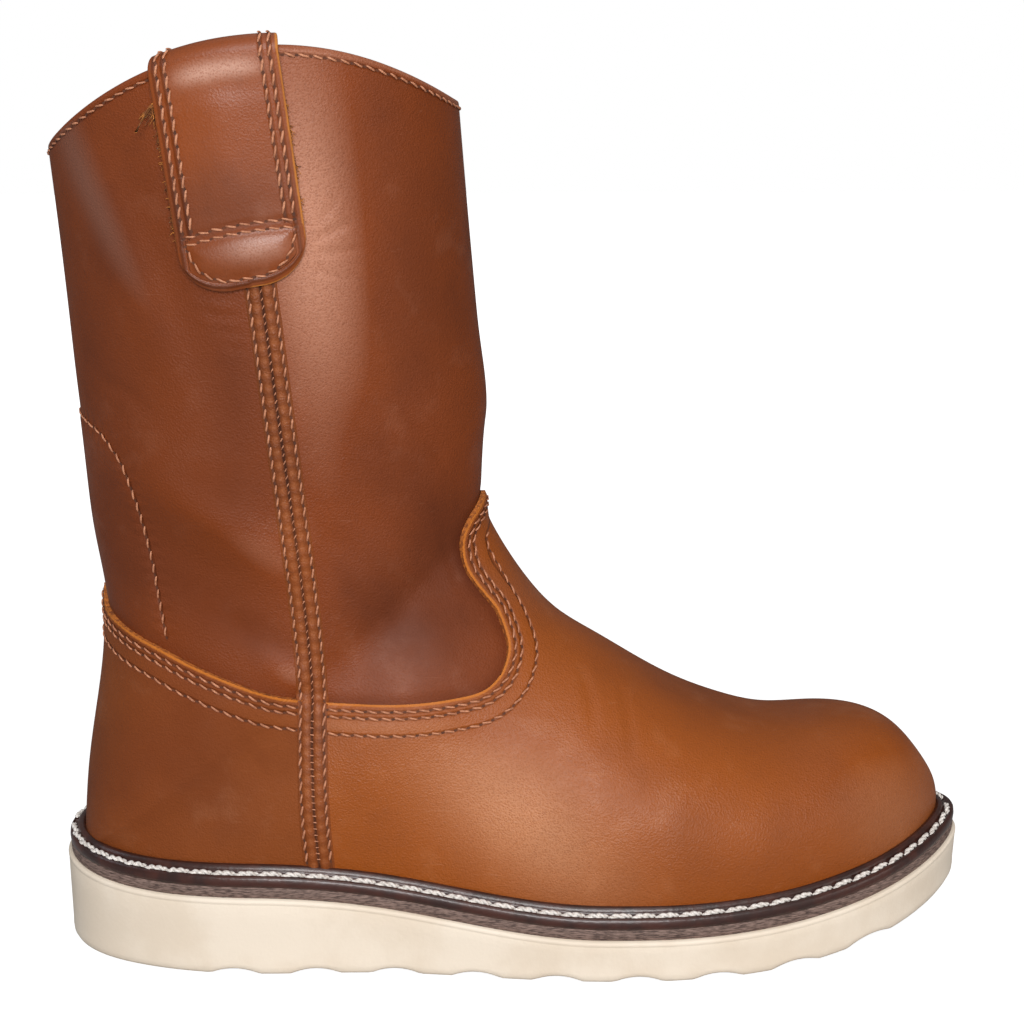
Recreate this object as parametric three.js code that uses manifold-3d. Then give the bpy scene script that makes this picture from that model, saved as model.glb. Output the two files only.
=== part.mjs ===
// Pull-on work boot for a right foot: leather foot and leg, stitched welt, thin midsole and wedge outsole.
// Millimetres. +X points to the toe, +Y to the inner side of the foot and +Z up; the outsole stands on Z = 0.
import * as THREE from "three";
import { mergeVertices } from "three/addons/utils/BufferGeometryUtils.js";
import Module from "manifold-3d";

const wasm = await Module();
wasm.setup();

// Outsole, in plan and in height
const soleLength = 310;
const ballOuterHalf = 59; // from the long axis to the outer edge at the ball
const ballInnerHalf = 51; // and to the inner edge
const heelHalf = 42;
const heelThickness = 27;
const ballThickness = 14.8;
const seatRise = 3.2; // the heel seat curves up at the very back
const toeSpring = 17.2; // of the top of the outsole
const footSpring = 16; // and of its underside
const wedgeStart = 66; // the wedge is level up to here and has thinned out at wedgeEnd
const wedgeEnd = 181;
const springStart = 205;
const footSpringStart = 214;
const topBevel = 1.1; // small lip round the top edge of the outsole
const topBevelHeight = 2.6;
const footRound = 2.0; // rounding of the edge that meets the ground
const footRoundHeight = 5;
const grooveStart = 60; // scalloped cross grooves of the tread
const groovePitch = 26.4;
const grooveCount = 9;
const grooveWidth = 16;
const grooveDepth = 1.9;

// Layers between the outsole and the upper
const gap = 0.3; // clearance between pieces that touch
const midsoleInset = 1.2; // the outsole stands proud of the midsole
const midsoleThickness = 4;
const weltThickness = 3;
const weltReach = 6.2; // how far the welt reaches beyond the upper
const heelWeltReach = 5;
const beadWidth = 3.4; // raised bead of the welt, against the upper
const beadHeight = 2;
const insoleThickness = 4;
const insoleBevel = 1.2;

// Leather
const wall = 2.4; // leg leather with its lining
const overlayThickness = 1.8; // vamp and counter
const seamWidth = 11;
const seamThickness = 1.1;

// Leg and instep
const instepHeight = 54; // ridge above the seat plane at the ball
const legHeight = 280; // front of the collar above the ground
const legLength = 130.7; // front to back at the collar
const legHalf = 54; // half of its breadth
const scallop = 23; // the collar is that much higher at the outer side
const innerScallop = 19.5; // and at the inner side

// Pull straps
const strapWidth = 37.5;
const strapDrop = 68; // from the collar to the rounded end
const strapInsideDrop = 50;
const strapThickness = 2.6;
const strapCorner = 15;
const strapHeadroom = 2.2; // between the top of the collar and the strap
const strapInsideGap = 1; // clear of the flat facets inside the leg
const strapLean = 0.12; // forward shift for each millimetre down
const strapAlong = 0.2045; // middle of the outer strap at the collar, as a share of soleLength
const innerStrapAlong = 0.19; // and of the inner one

// Plan of the outsole. turn runs from the heel tip (0) to the toe tip (1) as half a turn of a circle.
// ball says how much of the breadth follows the ball, and outer and inner are shares of that breadth.
const planTable = [
  { turn: 0.0, ball: 0.0, outer: 0.000, inner: 0.000 },
  { turn: 0.1, ball: 0.0, outer: 0.536, inner: 0.524 },
  { turn: 0.2, ball: 0.0, outer: 0.910, inner: 0.857 },
  { turn: 0.3, ball: 0.1, outer: 1.064, inner: 0.874 },
  { turn: 0.4, ball: 0.4, outer: 0.982, inner: 0.757 },
  { turn: 0.5, ball: 0.75, outer: 1.012, inner: 0.759 },
  { turn: 0.6, ball: 1.0, outer: 0.997, inner: 0.931 },
  { turn: 0.7, ball: 1.0, outer: 0.886, inner: 1.000 },
  { turn: 0.8, ball: 1.0, outer: 0.649, inner: 0.804 },
  { turn: 0.9, ball: 1.0, outer: 0.314, inner: 0.402 },
  { turn: 1.0, ball: 1.0, outer: 0.000, inner: 0.000 },
];

// Sections of the foot, each a plane across the boot from the seat line up to the ridge of the vamp.
// seat is the turn on the plan, ridge the place of the top point as a share of the sole's length, rise its
// height over the seat plane as a share of instepHeight. outer and inner are the least half breadths as
// shares of heelHalf, widest the share of the section's height where it is broadest, crown and foot the
// powers of its upper and lower curves.
const footTable = [
  { seat: 1.0, ridge: 0.9719, rise: 0.1, outer: 0, inner: 0, widest: 0.42, crown: 2.3, foot: 2.0 },
  { seat: 0.95, ridge: 0.9661, rise: 0.265, outer: 0, inner: 0, widest: 0.4, crown: 2.3, foot: 2.0 },
  { seat: 0.9, ridge: 0.9494, rise: 0.457, outer: 0, inner: 0, widest: 0.36, crown: 2.3, foot: 2.0 },
  { seat: 0.85, ridge: 0.9219, rise: 0.672, outer: 0, inner: 0, widest: 0.32, crown: 2.3, foot: 2.0 },
  { seat: 0.8, ridge: 0.8839, rise: 0.815, outer: 0, inner: 0, widest: 0.3, crown: 2.3, foot: 2.0 },
  { seat: 0.75, ridge: 0.837, rise: 0.88, outer: 0, inner: 0, widest: 0.28, crown: 2.3, foot: 2.0 },
  { seat: 0.7, ridge: 0.784, rise: 0.918, outer: 0.2, inner: 0.2, widest: 0.26, crown: 2.25, foot: 2.0 },
  { seat: 0.65, ridge: 0.729, rise: 1.03, outer: 0.5, inner: 0.5, widest: 0.25, crown: 2.2, foot: 2.0 },
  { seat: 0.6, ridge: 0.6758, rise: 1.176, outer: 0.68, inner: 0.7, widest: 0.26, crown: 2.1, foot: 2.0 },
  { seat: 0.55, ridge: 0.6274, rise: 1.34, outer: 0.77, inner: 0.79, widest: 0.28, crown: 2.0, foot: 2.0 },
  { seat: 0.5, ridge: 0.5839, rise: 1.498, outer: 0.83, inner: 0.83, widest: 0.31, crown: 1.95, foot: 2.0 },
  { seat: 0.43, ridge: 0.5419, rise: 1.648, outer: 0.86, inner: 0.84, widest: 0.34, crown: 1.95, foot: 2.0 },
  { seat: 0.35, ridge: 0.5081, rise: 1.839, outer: 0.87, inner: 0.85, widest: 0.37, crown: 1.95, foot: 2.05 },
  { seat: 0.25, ridge: 0.4823, rise: 2.041, outer: 0.87, inner: 0.85, widest: 0.4, crown: 2.0, foot: 2.1 },
  { seat: 0.14, ridge: 0.4665, rise: 2.193, outer: 0.875, inner: 0.87, widest: 0.42, crown: 2.0, foot: 2.25 },
  { seat: 0.0, ridge: 0.4613, rise: 2.359, outer: 0.89, inner: 0.88, widest: 0.44, crown: 2.0, foot: 2.35 },
];

// Sections of the leg, each an oval from the back line to the front line.
// back and front are the heights of its ends as shares of legHeight, heel and shin how far they stand
// behind and before the collar's ends as shares of legLength, breadth a share of legHalf.
const legTable = [
  { back: 0.22, front: 0.612, heel: -0.04, shin: 0.058, breadth: 0.69, widest: 0.455, power: 2.3 },
  { back: 0.32, front: 0.648, heel: -0.077, shin: 0.066, breadth: 0.705, widest: 0.47, power: 2.25 },
  { back: 0.418, front: 0.687, heel: -0.094, shin: 0.062, breadth: 0.745, widest: 0.48, power: 2.2 },
  { back: 0.518, front: 0.738, heel: -0.066, shin: 0.048, breadth: 0.8, widest: 0.49, power: 2.15 },
  { back: 0.629, front: 0.796, heel: -0.05, shin: 0.036, breadth: 0.86, widest: 0.5, power: 2.1 },
  { back: 0.736, front: 0.861, heel: -0.034, shin: 0.024, breadth: 0.915, widest: 0.5, power: 2.1 },
  { back: 0.843, front: 0.929, heel: -0.018, shin: 0.012, breadth: 0.96, widest: 0.5, power: 2.1 },
  { back: 0.95, front: 1.0, heel: 0.0, shin: 0.0, breadth: 1.0, widest: 0.5, power: 2.1 },
];
const collarBack = 5.6; // back of the collar behind the outsole's heel tip, along X

// Edge of the vamp on the leg, from the front ridge down to the side seam: shares of soleLength and legHeight.
const vampEdge = [
  { along: 0.51, up: 0.554 },
  { along: 0.464, up: 0.529 },
  { along: 0.446, up: 0.522 },
  { along: 0.438, up: 0.504 },
  { along: 0.437, up: 0.484 },
  { along: 0.443, up: 0.461 },
  { along: 0.459, up: 0.436 },
  { along: 0.472, up: 0.418 },
  { along: 0.48, up: 0.398 },
  { along: 0.485, up: 0.378 },
  { along: 0.483, up: 0.362 },
  { along: 0.475, up: 0.345 },
  { along: 0.456, up: 0.331 },
  { along: 0.42, up: 0.325 },
  { along: 0.38, up: 0.322 },
  { along: 0.336, up: 0.322 },
  { along: 0.28, up: 0.325 },
];

// Edge of the counter, from the back line down to the side seam.
const counterEdge = [
  { along: 0.0, up: 0.439 },
  { along: 0.052, up: 0.42 },
  { along: 0.088, up: 0.403 },
  { along: 0.127, up: 0.386 },
  { along: 0.16, up: 0.369 },
  { along: 0.194, up: 0.353 },
  { along: 0.235, up: 0.336 },
  { along: 0.28, up: 0.326 },
];

// Middle line of the side seam, from the collar down to the welt.
const seamLine = [
  { along: 0.215, up: 1.08 },
  { along: 0.241, up: 0.812 },
  { along: 0.255, up: 0.656 },
  { along: 0.265, up: 0.545 },
  { along: 0.275, up: 0.429 },
  { along: 0.28, up: 0.34 },
  { along: 0.281, up: 0.2 },
  { along: 0.284, up: 0.03 },
];

const clamp = THREE.MathUtils.clamp;
const ease = (v, from, to) => THREE.MathUtils.smoothstep(v, from, to);

// A smooth curve through evenly spaced values: a natural cubic spline.
function smoothThrough(values) {
  const last = values.length - 1;
  const bend = new Array(last + 1).fill(0);
  const carry = new Array(last + 1).fill(0);
  for (let i = 1; i < last; i++) {
    const pull = 3 * (values[i + 1] - 2 * values[i] + values[i - 1]);
    const weight = 4 - carry[i - 1];
    carry[i] = 1 / weight;
    bend[i] = (pull - bend[i - 1]) / weight;
  }
  for (let i = last - 1; i > 0; i--) bend[i] -= carry[i] * bend[i + 1];
  return (at) => {
    const i = clamp(Math.floor(at), 0, last - 1);
    const f = at - i;
    const slope = values[i + 1] - values[i] - (2 * bend[i] + bend[i + 1]) / 3;
    return values[i] + f * (slope + f * (bend[i] + (f * (bend[i + 1] - bend[i])) / 3));
  };
}

const column = (table, name) => smoothThrough(table.map((row) => row[name]));

// Heights of the sole's layers along the boot
function soleTop(x) {
  const wedge = THREE.MathUtils.lerp(heelThickness, ballThickness, ease(x, wedgeStart, wedgeEnd));
  const cup = seatRise * clamp(1 - x / heelHalf, 0, 1) ** 2;
  return wedge + cup + toeLift(x);
}

function toeLift(x) {
  return toeSpring * Math.max(0, (x - springStart) / (soleLength - springStart)) ** 2;
}

function footLift(x) {
  return footSpring * Math.max(0, (x - footSpringStart) / (soleLength - footSpringStart)) ** 2;
}

const midsoleTop = (x) => soleTop(x) + gap + midsoleThickness;
const seatPlane = (x) => midsoleTop(x) + gap;

// Outline of the outsole. side is -1 for the outer half and +1 for the inner.
const planBall = column(planTable, "ball");
const planOuter = column(planTable, "outer");
const planInner = column(planTable, "inner");

function planPoint(turn, side) {
  const at = turn * (planTable.length - 1);
  const ballHalf = side < 0 ? ballOuterHalf : ballInnerHalf;
  const share = side < 0 ? planOuter(at) : planInner(at);
  const half = share * THREE.MathUtils.lerp(heelHalf, ballHalf, clamp(planBall(at), 0, 1));
  const x = (soleLength * (1 - Math.cos(Math.PI * turn))) / 2;
  return new THREE.Vector2(x, side * Math.max(0, half));
}

// The same outline moved outwards (or inwards, when inset is positive) square to itself.
function insetPoint(turn, side, inset) {
  const step = 0.004;
  if (turn < step || turn > 1 - step) {
    const tip = planPoint(Math.round(turn), side);
    return new THREE.Vector2(tip.x + (turn < 0.5 ? inset : -inset), 0);
  }
  const along = planPoint(turn + step, side).sub(planPoint(turn - step, side)).normalize();
  const inward = new THREE.Vector2(side * along.y, -side * along.x);
  return planPoint(turn, side).addScaledVector(inward, inset);
}

const weltInset = (x) => midsoleInset + THREE.MathUtils.lerp(heelWeltReach, weltReach, ease(x, 0, wedgeStart));
const overlayStack = gap + overlayThickness;

// Point of the seat line, where the leg leather meets the midsole.
function seatPoint(turn, side) {
  const inset = weltInset(planPoint(turn, side).x) + overlayStack;
  const flat = insetPoint(turn, side, inset);
  return new THREE.Vector3(flat.x, flat.y, seatPlane(flat.x));
}

// All sections as rows of one table in millimetres.
const footRows = footTable.map((row) => {
  const x = row.ridge * soleLength;
  return {
    ...row,
    back: null,
    ridgeX: x,
    ridgeZ: seatPlane(x) + row.rise * instepHeight,
    outer: row.outer * heelHalf,
    inner: row.inner * heelHalf,
  };
});
const legRows = legTable.map((row) => ({
  seat: 0,
  back: new THREE.Vector3(collarBack - row.heel * legLength, 0, row.back * legHeight),
  ridgeX: collarBack + (1 + row.shin) * legLength,
  ridgeZ: row.front * legHeight,
  outer: row.breadth * legHalf,
  inner: row.breadth * legHalf,
  widest: row.widest,
  crown: row.power,
  foot: row.power,
}));
const rows = [...footRows, ...legRows];
const heelRow = footRows.length - 1;
const collarRow = rows.length - 1;
const heelTip = seatPoint(0, 1);
const backLine = [heelTip, ...legRows.map((row) => row.back)];
const backX = smoothThrough(backLine.map((p) => p.x));
const backZ = smoothThrough(backLine.map((p) => p.z));
const rowCurves = Object.fromEntries(
  ["seat", "ridgeX", "ridgeZ", "outer", "inner", "widest", "crown", "foot"].map((name) => [name, column(rows, name)]),
);

// The foot's own flare over the seat line and how sharply it blends into the section's least breadth.
const flare = 1.05;
const blend = 8;

// A point of the leather's outer face. at runs over the rows, from the toe tip to the collar; turn goes from
// the seat or back line (0) over one side to the ridge (1); side is -1 or +1.
function skinPoint(at, turn, side) {
  const open = at < heelRow;
  const seatTurn = at < heelRow - 1 ? rowCurves.seat(at) : footRows[heelRow - 1].seat * Math.max(0, heelRow - at);
  const start = open
    ? seatPoint(seatTurn, side)
    : new THREE.Vector3(backX(at - heelRow), 0, backZ(at - heelRow));
  const top = new THREE.Vector3(rowCurves.ridgeX(at), 0, rowCurves.ridgeZ(at));
  const seatHalf = Math.abs(start.y);
  const least = Math.max(0, side < 0 ? rowCurves.outer(at) : rowCurves.inner(at));
  const half = ((seatHalf * flare) ** blend + least ** blend) ** (1 / blend);
  const share = half > 1e-6 ? seatHalf / half : 1 / flare;
  const lower = 2 / rowCurves.foot(at);
  const upper = 2 / rowCurves.crown(at);
  const first = Math.asin(share ** (1 / lower));
  const angle = THREE.MathUtils.lerp(first, Math.PI, turn);
  const widest = rowCurves.widest(at);
  const cosine = Math.cos(angle);
  const below = cosine > 0;
  const reach = below
    ? widest * (1 - (cosine / Math.cos(first)) ** lower)
    : widest + (1 - widest) * (-cosine) ** upper;
  const breadth = half * Math.max(0, Math.sin(angle)) ** (below ? lower : upper);
  const point = start.clone().lerp(top, reach);
  point.y = side * breadth;
  point.z += (side < 0 ? scallop : innerScallop) * ease(at, collarRow - 4, collarRow) * Math.sin(angle) ** 2;
  return point;
}

// The leather as a grid of points and outward normals, one line of points for each row.
const halfColumns = 11;
const rowSteps = [];
for (let at = 0; at <= collarRow; at += at < 6 || (at >= 12 && at < 17) ? 0.5 : 1) rowSteps.push(at);

function gridLine(at) {
  const line = [];
  for (let j = 0; j <= halfColumns; j++) line.push(skinPoint(at, j / halfColumns, -1));
  for (let j = halfColumns - 1; j >= 0; j--) line.push(skinPoint(at, j / halfColumns, 1));
  return line;
}

const skin = rowSteps.map(gridLine);
const columns = 2 * halfColumns;
const isClosed = (i) => rowSteps[i] >= heelRow;

function skinNormal(i, j) {
  if (i === 0) {
    const ridge = skin[1][halfColumns].clone().sub(skin[0][halfColumns]);
    const top = j === halfColumns;
    return top ? new THREE.Vector3(ridge.z, 0, -ridge.x).normalize() : new THREE.Vector3(1, 0, 0);
  }
  const wrap = isClosed(i);
  if (wrap && j === columns) return skinNormal(i, 0);
  const before = j > 0 ? skin[i][j - 1] : wrap ? skin[i][columns - 1] : skin[i][0];
  const after = j < columns ? skin[i][j + 1] : wrap ? skin[i][1] : skin[i][columns];
  const across = after.clone().sub(before);
  const along = skin[Math.min(i + 1, skin.length - 1)][j].clone().sub(skin[i - 1][j]);
  const normal = across.cross(along);
  if (!wrap && (j === 0 || j === columns)) normal.z = 0;
  if (wrap && (j === 0 || j === columns)) normal.y = 0;
  return normal.normalize();
}

const normals = skin.map((line, i) => line.map((_, j) => skinNormal(i, j)));
const offsetSkin = (distance) =>
  skin.map((line, i) => line.map((p, j) => p.clone().addScaledVector(normals[i][j], distance)));

// Triangles gathered into one closed geometry.
class Faces {
  constructor() {
    this.positions = [];
  }
  triangle(a, b, c) {
    if (a.distanceToSquared(b) < 1e-8 || b.distanceToSquared(c) < 1e-8 || c.distanceToSquared(a) < 1e-8) return;
    for (const p of [a, b, c]) this.positions.push(p.x, p.y, p.z);
  }
  quad(a, b, c, d) {
    if (a.distanceToSquared(c) < b.distanceToSquared(d)) {
      this.triangle(a, b, c);
      this.triangle(a, c, d);
    } else {
      this.triangle(a, b, d);
      this.triangle(b, c, d);
    }
  }
  geometry() {
    const made = new THREE.BufferGeometry();
    made.setAttribute("position", new THREE.Float32BufferAttribute(this.positions, 3));
    return mergeVertices(made, 1e-3);
  }
}

// The leather between two distances from the skin: open at the collar and underneath.
function shellGeometry(inside, outside) {
  const inner = offsetSkin(inside);
  const outer = offsetSkin(outside);
  const faces = new Faces();
  const last = skin.length - 1;
  for (let i = 0; i < last; i++) {
    for (let j = 0; j < columns; j++) {
      faces.quad(outer[i][j], outer[i][j + 1], outer[i + 1][j + 1], outer[i + 1][j]);
      faces.quad(inner[i][j + 1], inner[i][j], inner[i + 1][j], inner[i + 1][j + 1]);
    }
    if (isClosed(i)) continue;
    faces.quad(outer[i][0], outer[i + 1][0], inner[i + 1][0], inner[i][0]);
    faces.quad(outer[i + 1][columns], outer[i][columns], inner[i][columns], inner[i + 1][columns]);
  }
  for (let j = 0; j < columns; j++) {
    faces.quad(outer[last][j], outer[last][j + 1], inner[last][j + 1], inner[last][j]);
  }
  return faces.geometry();
}

// The whole space inside the skin moved out by a distance, closed at the collar and underneath.
function formGeometry(distance) {
  const outer = offsetSkin(distance);
  const faces = new Faces();
  const last = skin.length - 1;
  for (let i = 0; i < last; i++) {
    for (let j = 0; j < columns; j++) {
      faces.quad(outer[i][j], outer[i][j + 1], outer[i + 1][j + 1], outer[i + 1][j]);
    }
    if (!isClosed(i)) faces.quad(outer[i][0], outer[i + 1][0], outer[i + 1][columns], outer[i][columns]);
  }
  for (let j = 0; j < halfColumns; j++) {
    faces.quad(outer[last][j], outer[last][j + 1], outer[last][columns - j - 1], outer[last][columns - j]);
  }
  return faces.geometry();
}

function toSolid(geometry) {
  const bare = geometry.index ? geometry.clone() : mergeVertices(geometry);
  bare.deleteAttribute("normal");
  bare.deleteAttribute("uv");
  const merged = mergeVertices(bare, 1e-3);
  return new wasm.Manifold(
    new wasm.Mesh({
      numProp: 3,
      vertProperties: merged.attributes.position.array,
      triVerts: new Uint32Array(merged.index.array),
    }),
  );
}

function toGeometry(solid) {
  const mesh = solid.getMesh();
  const made = new THREE.BufferGeometry();
  made.setAttribute("position", new THREE.BufferAttribute(mesh.vertProperties, 3));
  made.setIndex(new THREE.BufferAttribute(mesh.triVerts, 1));
  return made;
}

// A flat shape in the side view (X along, Z up) pushed through the boot from y = from to y = to.
function sidePrism(shape, from, to) {
  const made = new THREE.ExtrudeGeometry(shape, { depth: to - from, bevelEnabled: false, curveSegments: 4 });
  made.rotateX(Math.PI / 2);
  made.translate(0, to, 0);
  return toSolid(made);
}

const broad = 2 * Math.max(ballOuterHalf, ballInnerHalf, legHalf) + 40;
const sideSpot = (row) => new THREE.Vector2(row.along * soleLength, row.up * legHeight);

// Points of a smooth line through a short table of places in the side view.
function sideLine(table, steps) {
  return new THREE.SplineCurve(table.map(sideSpot)).getPoints(steps);
}

// Rings of the sole: the plan outline at one inset, with heights from a function of x.
const planSteps = 24;
const planTurns = [...Array(planSteps + 1).keys()].map((k) => k / planSteps);

function planRing(inset, height) {
  const insetAt = typeof inset === "function" ? inset : () => inset;
  const place = (turn, side) => {
    const flat = insetPoint(turn, side, insetAt(planPoint(turn, side).x));
    return new THREE.Vector3(flat.x, flat.y, height(flat.x));
  };
  const outer = planTurns.map((turn) => place(turn, -1));
  const inner = planTurns.slice(1, -1).reverse().map((turn) => place(turn, 1));
  return [...outer, ...inner];
}

// A solid between rings from the bottom up. Both ends are closed by strips across the boot.
function stackGeometry(rings) {
  const faces = new Faces();
  const count = rings[0].length;
  for (let k = 0; k + 1 < rings.length; k++) {
    for (let i = 0; i < count; i++) {
      const next = (i + 1) % count;
      faces.quad(rings[k][i], rings[k][next], rings[k + 1][next], rings[k + 1][i]);
    }
  }
  const bottom = rings[0];
  const top = rings[rings.length - 1];
  for (let i = 0; i < planSteps; i++) {
    const mate = (count - i) % count;
    const nextMate = count - i - 1;
    faces.quad(top[i], top[i + 1], top[nextMate], top[mate]);
    faces.quad(bottom[i + 1], bottom[i], bottom[mate], bottom[nextMate]);
  }
  return faces.geometry();
}

// A band round the boot: rings joined into a closed loop in section.
function bandGeometry(rings) {
  const faces = new Faces();
  const count = rings[0].length;
  rings.forEach((ring, k) => {
    const above = rings[(k + 1) % rings.length];
    for (let i = 0; i < count; i++) {
      const next = (i + 1) % count;
      faces.quad(ring[i], ring[next], above[next], above[i]);
    }
  });
  return faces.geometry();
}

function outsoleSolid() {
  const body = stackGeometry([
    planRing(footRound, footLift),
    planRing(0.35 * footRound, (x) => footLift(x) + 0.36 * footRoundHeight),
    planRing(topBevel, (x) => footLift(x) + footRoundHeight),
    planRing(0, (x) => soleTop(x) - topBevelHeight),
    planRing(topBevel, soleTop),
  ]);
  let solid = toSolid(body);
  const half = grooveWidth / 2;
  const radius = (half ** 2 + grooveDepth ** 2) / (2 * grooveDepth);
  const sweep = Math.asin(half / radius);
  for (let k = 0; k < grooveCount; k++) {
    const x = grooveStart + k * groovePitch;
    const shape = new THREE.Shape();
    shape.absarc(x, footLift(x) + grooveDepth - radius, radius, Math.PI / 2 + sweep, Math.PI / 2 - sweep, true);
    shape.lineTo(x + half, footLift(x) - 4 * grooveDepth);
    shape.lineTo(x - half, footLift(x) - 4 * grooveDepth);
    solid = solid.subtract(sidePrism(shape, -broad / 2, broad / 2));
  }
  return solid;
}

function midsoleSolid() {
  const bottom = (x) => soleTop(x) + gap;
  return toSolid(stackGeometry([planRing(midsoleInset, bottom), planRing(midsoleInset, midsoleTop)]));
}

// The welt lies on the midsole with its bead against the leather, and is cut clear of it.
function weltSolid() {
  const under = (x) => midsoleTop(x) + gap;
  const over = (x) => under(x) + weltThickness;
  const inner = (x) => weltInset(x) - gap;
  const beadStep = (across, up) =>
    planRing((x) => weltInset(x) - across * beadWidth, (x) => over(x) + up * beadHeight);
  const band = bandGeometry([
    planRing(inner, under),
    planRing(midsoleInset, under),
    planRing(midsoleInset, over),
    beadStep(1, 0),
    beadStep(0.92, 0.55),
    beadStep(0.6, 1),
    beadStep(0.2, 0.95),
    planRing(inner, (x) => over(x) + 0.8 * beadHeight),
  ]);
  return toSolid(band).subtract(toSolid(formGeometry(overlayStack + gap)));
}

function insoleSolid() {
  const inset = (x) => weltInset(x) + overlayStack + wall + 3 * gap;
  const top = (x) => seatPlane(x) + insoleThickness;
  return toSolid(stackGeometry([planRing(inset, seatPlane), planRing((x) => inset(x) + insoleBevel, top)]));
}

// Everything below a height over the whole plan, to trim the leather pieces with.
function belowSolid(height) {
  return toSolid(stackGeometry([planRing(-6, () => -20), planRing(-6, height)]));
}

// The leather shell, just clear of the midsole's top.
function upperSolid() {
  return toSolid(shellGeometry(-wall, 0)).subtract(belowSolid((x) => midsoleTop(x) + gap / 2));
}

// Turn on one row of the skin at which a given X is reached.
function turnAt(at, x, side) {
  let low = 0;
  let high = 1;
  for (let k = 0; k < 22; k++) {
    const turn = (low + high) / 2;
    if (skinPoint(at, turn, side).x < x) low = turn;
    else high = turn;
  }
  return (low + high) / 2;
}

// Point of the leg's skin at a given X and height, with its outward normal.
function legSpot(x, z, side) {
  let low = heelRow;
  let high = collarRow;
  for (let k = 0; k < 22; k++) {
    const at = (low + high) / 2;
    if (skinPoint(at, turnAt(at, x, side), side).z < z) low = at;
    else high = at;
  }
  const turn = turnAt(low, x, side);
  const step = 0.02;
  const across = skinPoint(low, turn + step, side).sub(skinPoint(low, turn - step, side));
  const up = skinPoint(Math.min(low + step, collarRow), turn, side).sub(skinPoint(low - step, turn, side));
  const normal = across.cross(up).multiplyScalar(-side).normalize();
  return { point: skinPoint(low, turn, side), normal };
}

// Half the strap's width less its rounded corner shortens the tail towards its edges.
function tailLength(across, drop) {
  const into = Math.max(0, Math.abs(across) - (strapWidth / 2 - strapCorner)) / strapCorner;
  return drop - strapCorner * (1 - Math.sqrt(Math.max(0, 1 - into ** 2)));
}

const strapX = (across, down, side) =>
  (side < 0 ? strapAlong : innerStrapAlong) * soleLength + across + strapLean * down;
const rimHeight = (x, side) => skinPoint(collarRow, turnAt(collarRow, x, side), side).z;

// One strap: an outer tail on the leg, a fold over the collar and an inner tail, as two faces of one sheet.
function strapSolid(side) {
  const acrossSteps = 8;
  const tailSteps = 4;
  const foldSteps = 5;
  const near = [];
  const far = [];
  for (let i = 0; i <= acrossSteps; i++) {
    const across = -(strapWidth / 2) * Math.cos((Math.PI * i) / acrossSteps);
    const nearLine = [];
    const farLine = [];
    const tail = (drop, base, outward) => {
      const length = tailLength(across, drop);
      for (let k = 0; k <= tailSteps; k++) {
        const down = (length * (outward ? tailSteps - k : k)) / tailSteps;
        const x = strapX(across, down, side);
        const spot = legSpot(x, rimHeight(strapX(across, 0, side), side) - down, side);
        nearLine.push(spot.point.clone().addScaledVector(spot.normal, base));
        farLine.push(spot.point.clone().addScaledVector(spot.normal, base + (outward ? 1 : -1) * strapThickness));
      }
    };
    tail(strapDrop, gap, true);
    const rim = legSpot(strapX(across, 0, side), rimHeight(strapX(across, 0, side), side), side);
    const outward = rim.normal.clone().setZ(0).normalize();
    const bend = wall / 2 + gap;
    const centre = rim.point.clone().addScaledVector(outward, -wall / 2);
    centre.z += strapHeadroom - bend;
    for (let k = 0; k <= foldSteps; k++) {
      const angle = (Math.PI * k) / foldSteps;
      const spoke = outward.clone().multiplyScalar(Math.cos(angle));
      spoke.z += Math.sin(angle);
      nearLine.push(centre.clone().addScaledVector(spoke, bend));
      farLine.push(centre.clone().addScaledVector(spoke, bend + strapThickness));
    }
    tail(strapInsideDrop, -wall - strapInsideGap, false);
    near.push(nearLine);
    far.push(farLine);
  }
  const faces = new Faces();
  const last = near[0].length - 1;
  const flip = side < 0;
  const quad = (a, b, c, d) => (flip ? faces.quad(a, b, c, d) : faces.quad(d, c, b, a));
  for (let i = 0; i < acrossSteps; i++) {
    for (let k = 0; k < last; k++) {
      quad(far[i][k], far[i + 1][k], far[i + 1][k + 1], far[i][k + 1]);
      quad(near[i + 1][k], near[i][k], near[i][k + 1], near[i + 1][k + 1]);
    }
    quad(near[i][0], near[i + 1][0], far[i + 1][0], far[i][0]);
    quad(near[i + 1][last], near[i][last], far[i][last], far[i + 1][last]);
  }
  for (let k = 0; k < last; k++) {
    quad(near[0][k], far[0][k], far[0][k + 1], near[0][k + 1]);
    quad(far[acrossSteps][k], near[acrossSteps][k], near[acrossSteps][k + 1], far[acrossSteps][k + 1]);
  }
  return toSolid(faces.geometry());
}

// Side view of a strap with its clearance, for the seam strip to end at.
function strapPrism(side) {
  const steps = 12;
  const ends = [];
  for (let i = 0; i <= steps; i++) {
    const across = -(strapWidth / 2) * Math.cos((Math.PI * i) / steps);
    const down = tailLength(across, strapDrop) + gap;
    const grown = across * (1 + (2 * gap) / strapWidth);
    ends.push(new THREE.Vector2(strapX(grown, down, side), rimHeight(strapX(across, 0, side), side) - down));
  }
  const shape = new THREE.Shape([
    ...ends,
    new THREE.Vector2(ends[steps].x, 2 * legHeight),
    new THREE.Vector2(ends[0].x - strapLean * strapDrop, 2 * legHeight),
  ]);
  return sidePrism(shape, side < 0 ? -broad / 2 : 0, side < 0 ? 0 : broad / 2);
}

// Side view of the seam strip, and of the clear space that the vamp and the counter leave for it.
function seamShape(halfWidth) {
  const middle = sideLine(seamLine, 24);
  const left = middle.map((p) => new THREE.Vector2(p.x - halfWidth, p.y));
  const right = middle.map((p) => new THREE.Vector2(p.x + halfWidth, p.y)).reverse();
  return new THREE.Shape([...left, ...right]);
}

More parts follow.
